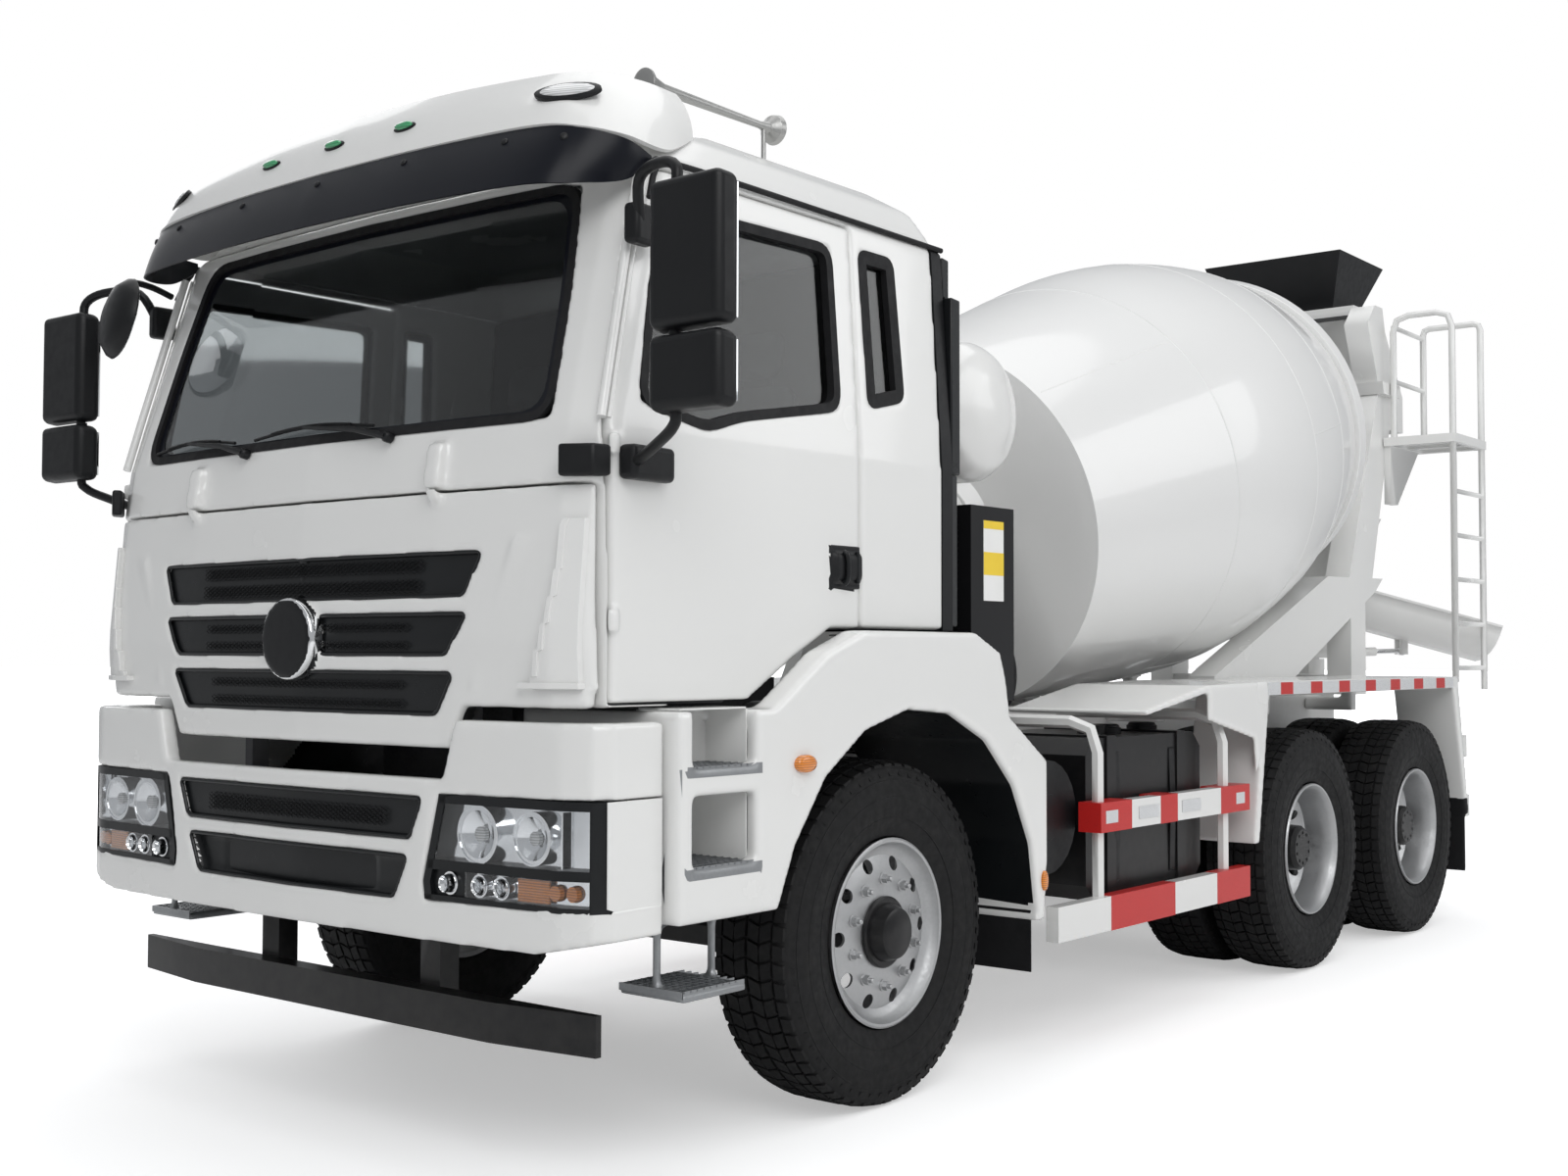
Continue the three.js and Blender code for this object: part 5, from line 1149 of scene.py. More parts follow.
GRILLE_SLOTS = [(1567, 1690, 700, 760), (1408, 1523, 645, 720), (1245, 1362, 600, 670)]
trays, nets = Shape(), Shape()
for low, high, half_low, half_high in GRILLE_SLOTS:
    rows = slot_rows(low + 2, high - 2, half_low - 2, half_high - 3)
    patch(trays, rows, cab_y, 16, 6)
    lip(trays, rows, cab_y, 9, 6)
    half = (half_low + half_high) / 2 * 0.72
    middle_z = (low + high) / 2
    net(nets, middle_z + 8, high - 14, half, cab_y, 7, SATIN_BLACK)
    net(nets, low + 14, middle_z - 8, half, cab_y, 7, SATIN_BLACK)
trays.done("grille_trays", SATIN_BLACK, "front_panel", "dark_plastic", 40)
nets.done("grille_nets", BLACK_PLASTIC, "front_panel", "dark_plastic", 40)

bumper_trays, bumper_nets = Shape(), Shape()
upper_rows = slot_rows(912, 1020, 535, 580)
patch(bumper_trays, upper_rows, bumper_y, 20, 6)
lip(bumper_trays, upper_rows, bumper_y, 10, 6)
net(bumper_nets, 936, 996, 420, bumper_y, 9, SATIN_BLACK)
lower_rows = slot_rows(746, 860, 470, 525)
patch(bumper_trays, lower_rows, bumper_y, 44, 4)
lip(bumper_trays, lower_rows, bumper_y, 12, 6)
bumper_trays.done("bumper_trays", SATIN_BLACK, "chassis", "dark_plastic", 40)
bumper_nets.done("bumper_net", BLACK_PLASTIC, "chassis", "dark_plastic", 40)

BADGE_Z = 1455
repaint(skins["front_panel"], BLACK_PLASTIC, lambda x, y, z: math.hypot(x, z - BADGE_Z) < 128
        and y < -1425)
repaint(skins["front_panel"], SATIN_BLACK, lambda x, y, z: abs(x) < 150 and 1246 < z < 1688
        and y > cab_y(x, z) + 7
        and any(low < z < high for low, high, _, _ in GRILLE_SLOTS))
repaint(skins["front_panel"], SATIN_BLACK, lambda x, y, z: abs(x) < 780 and 1180 < z < 1740
        and y > cab_y(x, z) + 22)
repaint(skins["front_bumper"], SATIN_BLACK, lambda x, y, z: abs(x) < 580 and 735 < z < 1030
        and y > bumper_y(x, z) + 22)
badge = Shape()
badge.turn([(-24, 112), (-2, 112), (0, 108), (0, 1), (-24, 1)], (0, -1442, BADGE_Z), (0, -1, 0), 72)
badge.turn([(-6, 92), (10, 92), (14, 98), (16, 107), (14, 115), (8, 120), (-26, 121), (-26, 92)],
           (0, -1442, BADGE_Z), (0, -1, 0), 72)
badge.done("badge_ring", CHROME, "front_panel", "steel", 60)
print("grille has", len(GRILLE_SLOTS), "trays")

# %% [markdown]
# A headlamp is a black housing let into the bumper. Behind its clear lens lie a bright reflector
# tray, two deep bowls with their bulbs, and below them a small fog lamp and a flasher. The lens is
# thin and follows the bumper, and the bowls are turned shapes, open to the front.

# %% Headlamps
LAMP_EDGE = [(752, 604, 1196), (800, 596, 1197), (1030, 652, 1197), (1037, 700, 1197)]
BOWLS = [(790, 935, 74), (985, 935, 66)]


def lamp_rows(low, high, left_low, left_high, right, steps=6):
    return [(low + (high - low) * i / steps, left_low + (left_high - left_low) * i / steps, right)
            for i in range(steps + 1)]


def bowl(shape, x, z, radius, deep, surface):
    y = surface(x, z)
    shape.turn([(deep, 1), (deep, 12), (deep - 12, radius * 0.5), (deep - 32, radius * 0.86),
                (12, radius), (9, radius), (9, radius + 5), (deep + 3, radius + 3), (deep + 3, 1)],
               (x, y, z), (0, 1, 0), 48)


for side, sign in SIDES.items():
    housing = Shape()
    patch(housing, LAMP_EDGE, bumper_y, 52, 4, 16)
    patch(housing, lamp_rows(1012, 1036, 648, 652, 1196, 2), bumper_y, 2, 48, 16)
    patch(housing, lamp_rows(834, 860, 606, 612, 1196, 2), bumper_y, 2, 48, 16)
    patch(housing, lamp_rows(752, 766, 602, 600, 1196, 2), bumper_y, 2, 48, 16)
    patch(housing, [(z, left, left + 26) for z, left, _ in LAMP_EDGE], bumper_y, 2, 48, 4)
    patch(housing, [(z, 1164, 1196) for z in (753, 1034)], bumper_y, 2, 48, 6)
    patch(housing, [(z, 604, 748) for z in (760, 840)], bumper_y, 14, 20, 6)
    housing.mirrored(sign)
    black = housing.done(f"lamp_housing_{side}", SATIN_BLACK, "chassis", "dark_plastic", 35)
    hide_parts(f"headlamp_{side}")
    bright = Shape()
    patch(bright, lamp_rows(858, 1014, 636, 668, 1168), bumper_y, 42, 4, 16)
    patch(bright, lamp_rows(764, 836, 752, 752, 1166), bumper_y, 34, 4, 12)
    for x, z, radius in BOWLS:
        bowl(bright, x, z, radius, 44, bumper_y)
    for x, radius in ((800, 26), (880, 26)):
        bowl(bright, x, 800, radius, 30, bumper_y)
    bowl(bright, 690, 800, 26, 20, bumper_y)
    patch(bright, lamp_rows(864, 1008, 1088, 1088, 1092), bumper_y, 8, 30, 2)
    bright.mirrored(sign)
    bright.done(f"lamp_reflector_{side}", CHROME, "chassis", "steel", 35)
    bulbs = Shape()
    for x, z, radius in BOWLS:
        y = bumper_y(x, z)
        bulbs.turn([(14, 0.4), (14, 9), (20, radius * 0.28), (34, radius * 0.28), (38, 0.4)],
                   (x, y, z), (0, 1, 0), 24)
    bulbs.mirrored(sign)
    bulbs.done(f"lamp_bulbs_{side}", WHITE_LENS, "chassis", "glass", 35)
    flasher = Shape()
    patch(flasher, lamp_rows(770, 830, 930, 930, 1040), bumper_y, 18, 6, 6)
    for x in (1060, 1110):
        flasher.turn([(16, 0.4), (16, 20), (30, 22), (30, 0.4)], (x, bumper_y(x, 800), 800),
                     (0, 1, 0), 24)
    flasher.mirrored(sign)
    flasher.done(f"lamp_flasher_{side}", AMBER_LENS, "chassis", "glass", 35)
    clear = Shape()
    patch(clear, lamp_rows(860, 1013, 638, 668, 1165), bumper_y, 4, 2.5, 16)
    patch(clear, lamp_rows(765, 835, 750, 750, 1165), bumper_y, 6, 2.5, 12)
    clear.mirrored(sign)
    clear.done(f"lamp_lens_{side}", CLEAR_LENS, "chassis", "glass", 35)
print("two headlamps with", len(BOWLS), "bowls each")

# %% [markdown]
# The roof cap and the visor under it are thin mouldings that sweep round the cab's front corners.
# Each is drawn by a lower and an upper edge, a smooth curve through a few points of one half, and
# a sheet with a wall is stretched between them. Lamps and screws are set on the same sheet.

# %% Roof cap and visor
def smooth_line(points, steps=8):
    """A smooth curve through points, with a few steps between each two."""
    points = [Vector(point) for point in points]
    line = []
    for i in range(len(points) - 1):
        before = points[max(i - 1, 0)]
        first, second = points[i], points[i + 1]
        after = points[min(i + 2, len(points) - 1)]
        for k in range(steps):
            t = k / steps
            line.append(0.5 * (2 * first + (second - before) * t
                               + (2 * before - 5 * first + 4 * second - after) * t ** 2
                               + (3 * first - before - 3 * second + after) * t ** 3))
    return line + [points[-1]]


def both_sides(half):
    """The line of one half, from its rear end to the middle, followed by its mirror image."""
    return half + [Vector((-p.x, p.y, p.z)) for p in reversed(half[:-1])]


CAP_LOW = both_sides(smooth_line([(1030, -835, 2880), (1094, -1010, 2800), (1090, -1170, 2806),
                                  (1010, -1262, 2824),
                                  (860, -1306, 2842), (450, -1335, 2849), (0, -1344, 2851)]))
CAP_HIGH = both_sides(smooth_line([(962, -833, 3026), (968, -960, 3026), (955, -1060, 3022),
                                   (915, -1135, 3020),
                                   (830, -1182, 3022), (430, -1212, 3040), (0, -1220, 3048)]))
VISOR_HIGH = both_sides(smooth_line([(1086, -1068, 2772), (1097, -1175, 2792), (1015, -1258, 2818),
                                     (870, -1300, 2836), (450, -1334, 2844), (0, -1344, 2846)]))
VISOR_LOW = both_sides(smooth_line([(1078, -1066, 2745), (1074, -1170, 2684), (1003, -1306, 2662),
                                    (870, -1384, 2660), (450, -1424, 2664), (0, -1434, 2666)]))


def outward(low, high, i):
    along = low[min(i + 1, len(low) - 1)] - low[max(i - 1, 0)]
    return along.cross(high[i] - low[i]).normalized()


def sheet_between(shape, low, high, bulge, wall, rows=6):
    """A thin wall between two edges, swollen outwards between them."""
    rings = []
    for i in range(len(low)):
        out = outward(low, high, i)
        if out.y > 0.2 or out.x * low[i].x < -1:
            out = -out
        outer = []
        for k in range(rows + 1):
            t = k / rows
            outer.append(low[i].lerp(high[i], t) + out * bulge * 4 * t * (1 - t))
        inner = [point - out * wall for point in reversed(outer)]
        rings.append(outer + inner)
    shape.loft(rings)


def on_sheet(low, high, x, up, bulge):
    """The place on such a sheet at a distance from the middle, and the way out of it there."""
    i = min(range(len(low)), key=lambda k: abs(low[k].lerp(high[k], up).x - x))
    out = outward(low, high, i)
    if out.y > 0:
        out = -out
    return low[i].lerp(high[i], up) + out * bulge * 4 * up * (1 - up), out


cap = Shape()
sheet_between(cap, CAP_LOW, CAP_HIGH, 14, 12)
roof_sheet = [[Vector((p.x * share, p.y + (1 - share) * 330, p.z + (1 - share) * 6))
               for p in CAP_HIGH]
              for share in (0.985, 0.93)]
cap.loft([[high, high - Vector((0, 0, 10)), back - Vector((0, 0, 14)), back]
          for high, back in zip(roof_sheet[0], [Vector((p.x * 0.9, min(p.y + 190, -835), p.z - 2))
                                                for p in CAP_HIGH])])
cap_piece = cap.done("roof_cap", WHITE_ENAMEL, "cab", "paint", 42)
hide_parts("roof_deflector")
visor = Shape()
sheet_between(visor, VISOR_LOW, VISOR_HIGH, 5, 5)
visor_piece = visor.done("smoked_visor", SMOKED_VISOR, "cab", "visor", 42)
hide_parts("sun_visor")

screws, marker_seats, markers, corner_lenses = Shape(), Shape(), Shape(), Shape()
for x in (-980, -760, -380, 0, 380, 760, 980):
    point, out = on_sheet(VISOR_LOW, VISOR_HIGH, x, 0.8, 5)
    screws.turn([(-3, 0.4), (-3, 11), (2, 11), (5, 8), (6, 0.4)], point, out, 20)
screws.done("visor_screws", BLACK_PLASTIC, "cab", "dark_plastic", 35)


def oval(shape, point, out, half_wide, half_high, low, high):
    """An oval block on a surface, with a rounded top."""
    across = Vector((0, 0, 1)).cross(out).normalized()
    up = out.cross(across)
    rings = []
    for share, lift in ((1, low), (1, high * 0.5), (0.9, high * 0.85), (0.6, high),
                        (0.02, high * 1.04)):
        rings.append([point + out * lift + across * half_wide * share * math.cos(a) + up
                      * half_high * share * math.sin(a)
                      for a in (2 * math.pi * i / 28 for i in range(28))])
    shape.loft(rings)


for x in (-314, 0, 314):
    point, out = on_sheet(CAP_LOW, CAP_HIGH, x, 0.42, 14)
    oval(marker_seats, point, out, 46, 17, -3, 5)
    oval(markers, point, out, 37, 12, 4, 16)
for x in (-925, 925):
    point, out = on_sheet(CAP_LOW, CAP_HIGH, x, 0.52, 14)
    oval(marker_seats, point, out, 98, 37, -6, 7)
    oval(corner_lenses, point, out, 80, 25, 6, 13)
marker_seats.done("cap_lamp_seats", BLACK_PLASTIC, "cab", "dark_plastic", 40)
markers.done("cap_markers", GREEN_LENS, "cab", "glass", 50)
corner_lenses.done("cap_corner_lamps", WHITE_LENS, "cab", "glass", 50)
print("roof cap, visor and five lamps")

# %% [markdown]
# Glass in a truck's door stands a little back from the skin, in a wide rubber seal. The openings'
# outlines are rounded, a pane fills each, and the seal is a bead that runs round it. The
# windscreen also has the black band that hides its glue.

# %% Windows and seals
DOOR_WINDOW = [(-1165, 2085), (-900, 2035), (-760, 2080), (-290, 2160), (-300, 2655), (-1030, 2640),
               (-1110, 2400)]
QUARTER_WINDOW = [(-125, 2190), (45, 2230), (22, 2665), (-140, 2665)]
SCREEN = [(-960, 2040), (960, 2040), (930, 2400), (880, 2715), (-880, 2715), (-930, 2400)]


def side_x(z):
    return between(CAB_LEVELS, z)[1]


def rounded(outline, radius, steps=5):
    """An outline of (u, v) points with its corners rounded."""
    made = []
    for i, corner in enumerate(outline):
        corner = Vector(corner)
        before = (Vector(outline[i - 1]) - corner)
        after = (Vector(outline[(i + 1) % len(outline)]) - corner)
        reach = min(radius, before.length * 0.45, after.length * 0.45)
        start = corner + before.normalized() * reach
        end = corner + after.normalized() * reach
        for k in range(steps + 1):
            t = k / steps
            made.append(start * (1 - t) ** 2 + corner * 2 * t * (1 - t) + end * t ** 2)
    return [tuple(point) for point in made]


def grown(outline, by):
    """An outline moved out by a distance, corner by corner."""
    centre = sum((Vector(p) for p in outline), Vector((0, 0))) / len(outline)
    area = sum(a[0] * b[1] - b[0] * a[1] for a, b in zip(outline, outline[1:] + outline[:1]))
    way = 1 if area > 0 else -1
    made = []
    for i, corner in enumerate(outline):
        ahead = (Vector(outline[(i + 1) % len(outline)]) - Vector(outline[i - 1])).normalized()
        made.append(tuple(Vector(corner) + Vector((ahead.y, -ahead.x)) * way * by))
    return made


def ring_band(shape, outer, inner):
    """A closed band: outer and inner are lists of (front point, back point) pairs."""
    shape.loft([[a[0], b[0], b[1], a[1]] for a, b in zip(outer, inner)], closed=True)


def on_side(outline, depth):
    return [Vector((side_x(z) - depth, y, z)) for y, z in outline]


def on_cab(outline, depth):
    return [Vector((x, cab_y(x, z) + depth, z)) for x, z in outline]


def seal(shape, outline, wide, place, proud, deep):
    outer = grown(outline, wide * 0.35)
    inner = grown(outline, -wide * 0.65)
    ring_band(shape, list(zip(place(outer, -proud), place(outer, deep))),
              list(zip(place(inner, -proud * 0.3), place(inner, deep))))


for side, sign in SIDES.items():
    pane = rounded(DOOR_WINDOW, 60)
    glass = Shape().plate(on_side(pane, 24), (-5, 0, 0)).mirrored(sign)
    glass.done(f"door_glass_{side}", TINTED_GLASS, f"door_{side}", "glass", 30)
    rubber = Shape()
    seal(rubber, pane, 30, on_side, 2, 32)
    rubber.mirrored(sign).done(f"door_seal_{side}", SEAL_RUBBER, f"door_{side}", "dark_plastic", 40)
    quarter = rounded(QUARTER_WINDOW, 30)
    Shape().plate(on_side(quarter, 20), (-5, 0, 0)).mirrored(sign).done(
        f"quarter_glass_{side}", TINTED_GLASS, "cab", "glass", 30)
    band = Shape()
    seal(band, quarter, 44, on_side, 2, 28)
    band.mirrored(sign).done(f"quarter_seal_{side}", SEAL_RUBBER, "cab", "dark_plastic", 40)

screen = rounded(SCREEN, 90, 6)
screen_fine = []
for first, second in zip(screen, screen[1:] + screen[:1]):
    pieces_between = max(1, int((Vector(second) - Vector(first)).length / 70))
    screen_fine += [tuple(Vector(first).lerp(Vector(second), k / pieces_between))
                    for k in range(pieces_between)]
frit = Shape()
inner_line = [(x * 0.955, 2385 + (z - 2385) * (0.905 if z > 2385 else 0.93))
              for x, z in screen_fine]
ring_band(frit, list(zip(on_cab(screen_fine, 12.5), on_cab(screen_fine, 13.6))),
          list(zip(on_cab(inner_line, 12.5), on_cab(inner_line, 13.6))))
frit.done("windscreen_band", SMOKED_VISOR, "cab", "visor", 40)
screen_seal = Shape()
seal(screen_seal, screen_fine, 26, on_cab, 2, 24)
screen_seal.done("windscreen_seal", SEAL_RUBBER, "cab", "dark_plastic", 40)
print("five panes sealed")

# %% [markdown]
# Two wipers rest near the lower edge of the windscreen. An arm comes from a spindle below the
# glass, and the blade is a thin strip held at its middle, which follows the bowed pane.

# %% Wipers
wipers = Shape()
for pivot_x, tip_x in ((360, -310), (-330, -900)):
    pivot = Vector((pivot_x, cab_y(pivot_x, 2030) - 12, 2026))
    wipers.turn([(-6, 0.5), (-6, 17), (14, 17), (20, 12), (20, 0.5)], pivot, (0, -1, 0.2), 24)
    hold_x = (pivot_x + tip_x) / 2 - 60
    hold = Vector((hold_x, cab_y(hold_x, 2084) - 22, 2084))
    wipers.bar([pivot + Vector((0, -12, 2)), pivot.lerp(hold, 0.35) + Vector((0, -16, 12)), hold],
               [11, 9, 5], 8)
    blade = []
    for k in range(13):
        x = tip_x + (pivot_x - 90 - tip_x) * k / 12
        z = 2068 + 20 * math.sin(math.pi * k / 12)
        blade.append((x, cab_y(x, z) - 4, z))
    wipers.bar(blade, 5, 6)
    wipers.bar([(x, y - 7, z + 2) for x, y, z in blade[2:-2]], 4, 6)
wipers.done("wipers", BLACK_PLASTIC, "cab", "dark_plastic", 40)
print("two wipers parked")

# %% [markdown]
# The mirrors are big rounded boxes, one over the other, on a bent tube from the door. A box with a
# wide bevel gives the moulded shell, and the glass is a thin plate let into its rear face.

# %% Door mirrors
HEADS = [(2215, 2590), (2010, 2200)]
ARM_LINE = [(1150, -1180, 2560), (1190, -1225, 2655), (1300, -1275, 2668), (1392, -1305, 2640),
            (1402, -1312, 2560),
            (1402, -1315, 2300), (1402, -1312, 2040), (1385, -1300, 1985), (1290, -1265, 1945),
            (1190, -1232, 1912)]
for side, sign in SIDES.items():
    shells = Shape()
    for low, high in HEADS:
        shells.plate([(1332, -1282, low), (1598, -1292, low), (1586, -1366, low + 8),
                      (1346, -1360, low + 8)],
                     (0, 0, high - low))
    shells.mirrored(sign)
    shell_piece = shells.done(f"mirror_shells_{side}", BLACK_PLASTIC, f"door_{side}",
                              "dark_plastic", 30, 24, 5)
    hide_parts(f"door_mirror_{side}")
    faces = Shape()
    for low, high in HEADS:
        faces.plate([(1350, -1281, low + 22), (1582, -1289, low + 22), (1582, -1284, low + 22),
                     (1350, -1276, low + 22)], (0, 0, high - low - 40))
    faces.mirrored(sign).done(f"mirror_glass_{side}", MIRROR_GLASS, f"door_{side}", "steel", 30)
    arm = Shape().bar(smooth_line(ARM_LINE, 5), 15, 14)
    arm.bar(smooth_line([(1402, -1312, 2215), (1402, -1312, 2195)], 3), 18, 14)
    arm.mirrored(sign).done(f"mirror_arm_{side}", BLACK_PLASTIC, f"door_{side}", "dark_plastic", 50)
    cover = Shape().plate([(1150, -1262, 1868), (1150, -1070, 1868), (1196, -1082, 1868),
                           (1206, -1250, 1868)],
                          (0, 0, 92))
    cover.mirrored(sign).done(f"mirror_foot_{side}", BLACK_PLASTIC, f"door_{side}", "dark_plastic",
                              30, 16, 4)
    upper_foot = Shape().plate([(1118, -1214, 2500), (1118, -1120, 2500), (1160, -1130, 2500),
                                (1168, -1205, 2500)],
                               (0, 0, 110))
    upper_foot.mirrored(sign).done(f"mirror_upper_foot_{side}", BLACK_PLASTIC, f"door_{side}",
                                   "dark_plastic", 30, 14, 3)
    front_foot = Shape().plate([(1158, -1288, 1872), (1146, -1342, 1872), (1062, -1390, 1872),
                                (1050, -1362, 1872), (1120, -1310, 1872)], (0, 0, 84))
    front_foot.mirrored(sign).done(f"corner_cover_{side}", BLACK_PLASTIC, "cab", "dark_plastic", 30,
                                   8, 3)
print("mirrors with", len(HEADS), "heads a side")

# %% [markdown]
# The steps beside the cab are galvanised grating: rows of short cross bars between two long ones.
# The row tree sets the cross bars, and a second pass sets the long bars, so the boards look open
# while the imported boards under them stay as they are.

# %% Steps, arches and flaps
def grating(shape, x, y, z, step=(26, 26)):
    """A grid of small bars over a board, from its x and y limits and its top."""
    cross = row_of(Shape().box((0, x[1] - x[0]), (0, 4), (0, 5)), int((y[1] - y[0]) / step[1]),
                   (0.0, float(step[1]), 0.0), GRATING_STEEL)
    along = row_of(Shape().box((0, 4), (0, y[1] - y[0]), (0, 6)), int((x[1] - x[0]) / step[0]),
                   (float(step[0]), 0.0, 0.0), GRATING_STEEL)
    add_mesh(shape, cross, (x[0], y[0] + 6, z))
    add_mesh(shape, along, (x[0] + 6, y[0], z - 0.5))


BOARDS = [(1010, 1238, -1076, -800, 843), (1010, 1238, -1076, -800, 1108),
          (1018, 1246, -1106, -854, 525)]
for side, sign in SIDES.items():
    repaint(skins[f"step_fender_{side}"], GRATING_STEEL,
            lambda x, y, z: y < -780 and abs(x) > 1000 and (818 < z < 846 or 1083 < z < 1111)
            or (z < 696 and y < -840))
    repaint(skins[f"step_fender_{side}"], SATIN_BLACK,
            lambda x, y, z: abs(x) < 1225 and z > 560 and 640 < math.hypot(y, z - 540) < 752
            and abs(y) < 745)
    repaint(skins[f"rear_fender_{side}"], SEAL_RUBBER, lambda x, y, z: y > 5150 and z < 640)
    grid = Shape()
    for x0, x1, y0, y1, z in BOARDS:
        grating(grid, (x0, x1), (y0, y1), z)
        grid.box((x0, x1), (y0 - 1, y0 + 3), (z - 14, z + 6))
        grid.box((x1 - 4, x1), (y0, y1), (z - 14, z + 6))
    grid.mirrored(sign).done(f"step_grating_{side}", GRATING_STEEL, "chassis", "steel", 30)
    wall = Shape()
    wall.box((986, 994), (-1074, -796), (846, 1034))
    wall.box((1046, 1054), (-1074, -796), (1111, 1262))
    wall.box((994, 1204), (-801, -795), (846, 1034))
    wall.box((1054, 1204), (-801, -795), (1111, 1262))
    wall.box((994, 1204), (-1074, -801), (1036, 1042))
    wall.box((1054, 1204), (-1074, -801), (1263, 1268))
    wall.mirrored(sign).done(f"step_wall_{side}", WHITE_ENAMEL, "chassis", "paint", 30)
    lamps = Shape()
    oval(lamps, Vector((1246, -593, 1102)), Vector((1, 0, 0)), 44, 26, -3, 20)
    oval(lamps, Vector((1246, 738, 640)), Vector((1, 0, 0)), 18, 34, -3, 10)
    lamps.mirrored(sign).done(f"side_markers_{side}", AMBER_LENS, "chassis", "glass", 50)
    flap = Shape().plate([(900, 700, 330), (1215, 700, 330), (1215, 706, 330), (900, 706, 330)],
                         (0, 0, 210))
    flap.mirrored(sign).done(f"front_mud_flap_{side}", SEAL_RUBBER, "chassis", "dark_plastic", 30,
                             1.5, 1)
print("boards covered:", len(BOARDS), "a side")

# %% [markdown]
# The bumper's ends turn back beside the lamps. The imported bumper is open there, so a thin white
# cheek closes each end, from the lamp to the step.

# %% Bumper cheeks
CHEEK_X = 1198
for side, sign in SIDES.items():
    cheek = Shape()
    outline = [Vector((CHEEK_X, y, z)) for y, z in ((-1334, 766), (-1334, 1036), (-1132, 1036),
                                                 (-1132, 700))]
    cheek.plate(outline, (-5, 0, 0))
    cheek.mirrored(sign).done(f"bumper_cheek_{side}", WHITE_ENAMEL, "chassis", "paint", 30, 1.5, 2)
print("cheeks at x", CHEEK_X)

# %% [markdown]
# The side guard carries red and white blocks, and the rear fender's edge has a strip of
# reflective tape with seven red pieces. Both are thin sleeves over the steel, so that their edges
# are sharp and they catch light a little differently from the paint.

# %% Red and white blocks
LOWER_BLOCKS = [(1225, 1735), (2110, 2421)]
UPPER_BLOCKS = [(1149, 1385), (1620, 1760), (2150, 2421)]
TAPE_BLOCKS = [(2740 + i * 330, 2740 + i * 330 + 130) for i in range(7)]
for side, sign in SIDES.items():
    red, silver = Shape(), Shape()
    for y0, y1 in LOWER_BLOCKS:
        red.box((1188.5, 1241.5), (y0, y1), (410.5, 536.5))
    for y0, y1 in UPPER_BLOCKS:
        red.box((1148.5, 1241.5), (y0, y1), (768.5, 876.5))
    for y0, y1 in ((1185, 1275), (1440, 1600), (1800, 1960), (2290, 2370)):
        silver.box((1241, 1243), (y0, y1), (800, 846))
    silver.box((1245, 1246), (2606, 4990), (1242, 1296))
    for y0, y1 in TAPE_BLOCKS:
        red.box((1245, 1246.8), (y0, y1), (1243, 1295))
    red.mirrored(sign).done(f"red_blocks_{side}", RED_TAPE, "chassis", "paint", 30)
    silver.mirrored(sign).done(f"silver_blocks_{side}", SILVER_TAPE, "chassis", "paint", 30)
print("tape with", len(TAPE_BLOCKS), "red pieces")

# %% [markdown]
# On the cab there is a rain rail over the doors, a moulded black strip with a lattice behind the
# cab's corner, a recessed black door handle, a round mirror in front, a long air horn on the
# roof, and a bead that covers the joint between each door and the pillar.

# %% Cab fittings
STRIP = {"y": (322, 392), "z": (1505, 2738)}
for side, sign in SIDES.items():
    rail = Shape().bar(smooth_line([(1128, -1120, 2640), (1112, -1075, 2735), (1104, -1000, 2762),
                                    (1104, -300, 2762), (1104, 322, 2758)], 6), 9, 10)
    rail.mirrored(sign).done(f"rain_rail_{side}", SEAL_RUBBER, "cab", "dark_plastic", 60)
    strip = Shape()
    for low, high, wide in ((STRIP["z"][0], 2010, 52), (2010, 2600, 70), (2600, STRIP["z"][1], 56)):
        strip.plate([(1062, STRIP["y"][0], low), (side_x(low) - 4, STRIP["y"][0], low),
                     (side_x(low) - 16, STRIP["y"][0] + wide, low),
                     (1062, STRIP["y"][0] + wide - 14, low)],
                    (0, 0, high - low - 2))
    strip.mirrored(sign).done(f"corner_strip_{side}", SATIN_BLACK, "cab", "dark_plastic", 30, 6, 2)
    lattice = Shape()
    cell = 24
    for k in range(int(560 / cell)):
        z = 2030 + k * cell
        for way in (-1, 1):
            start = Vector((side_x(z) - 7, 330, z + (0 if way > 0 else cell)))
            end = Vector((side_x(z) - 16, 384, z + (cell if way > 0 else 0)))
            lattice.bar([start, end], 3, 6)
    lattice.mirrored(sign).done(f"corner_lattice_{side}", BLACK_PLASTIC, "cab", "dark_plastic", 50)
    face = side_x(1676) + 16
    repaint(skins[f"door_{side}"], BLACK_PLASTIC,
            lambda x, y, z: -350 < y < -190 and 1608 < z < 1742 and abs(x) > 1150)
    handle = Shape().plate([(face - 20, -346, 1612), (face - 20, -198, 1612),
                            (face - 11, -201, 1612), (face - 11, -343, 1612)], (0, 0, 130))
    handle.mirrored(sign).done(f"door_handle_plate_{side}", BLACK_PLASTIC, f"door_{side}",
                               "dark_plastic", 30, 5, 3)
    grip = Shape().bar(smooth_line([(face, -300, 1722), (face + 9, -296, 1714),
                                    (face + 11, -292, 1690),
                                    (face + 11, -292, 1650), (face + 7, -294, 1632),
                                    (face, -298, 1624)], 5), 8, 12)
    grip.bar([(face + 2, -232, 1724), (face + 2, -232, 1628)], 7, 12)
    grip.mirrored(sign).done(f"door_handle_grip_{side}", SATIN_BLACK, f"door_{side}",
                             "dark_plastic", 60)

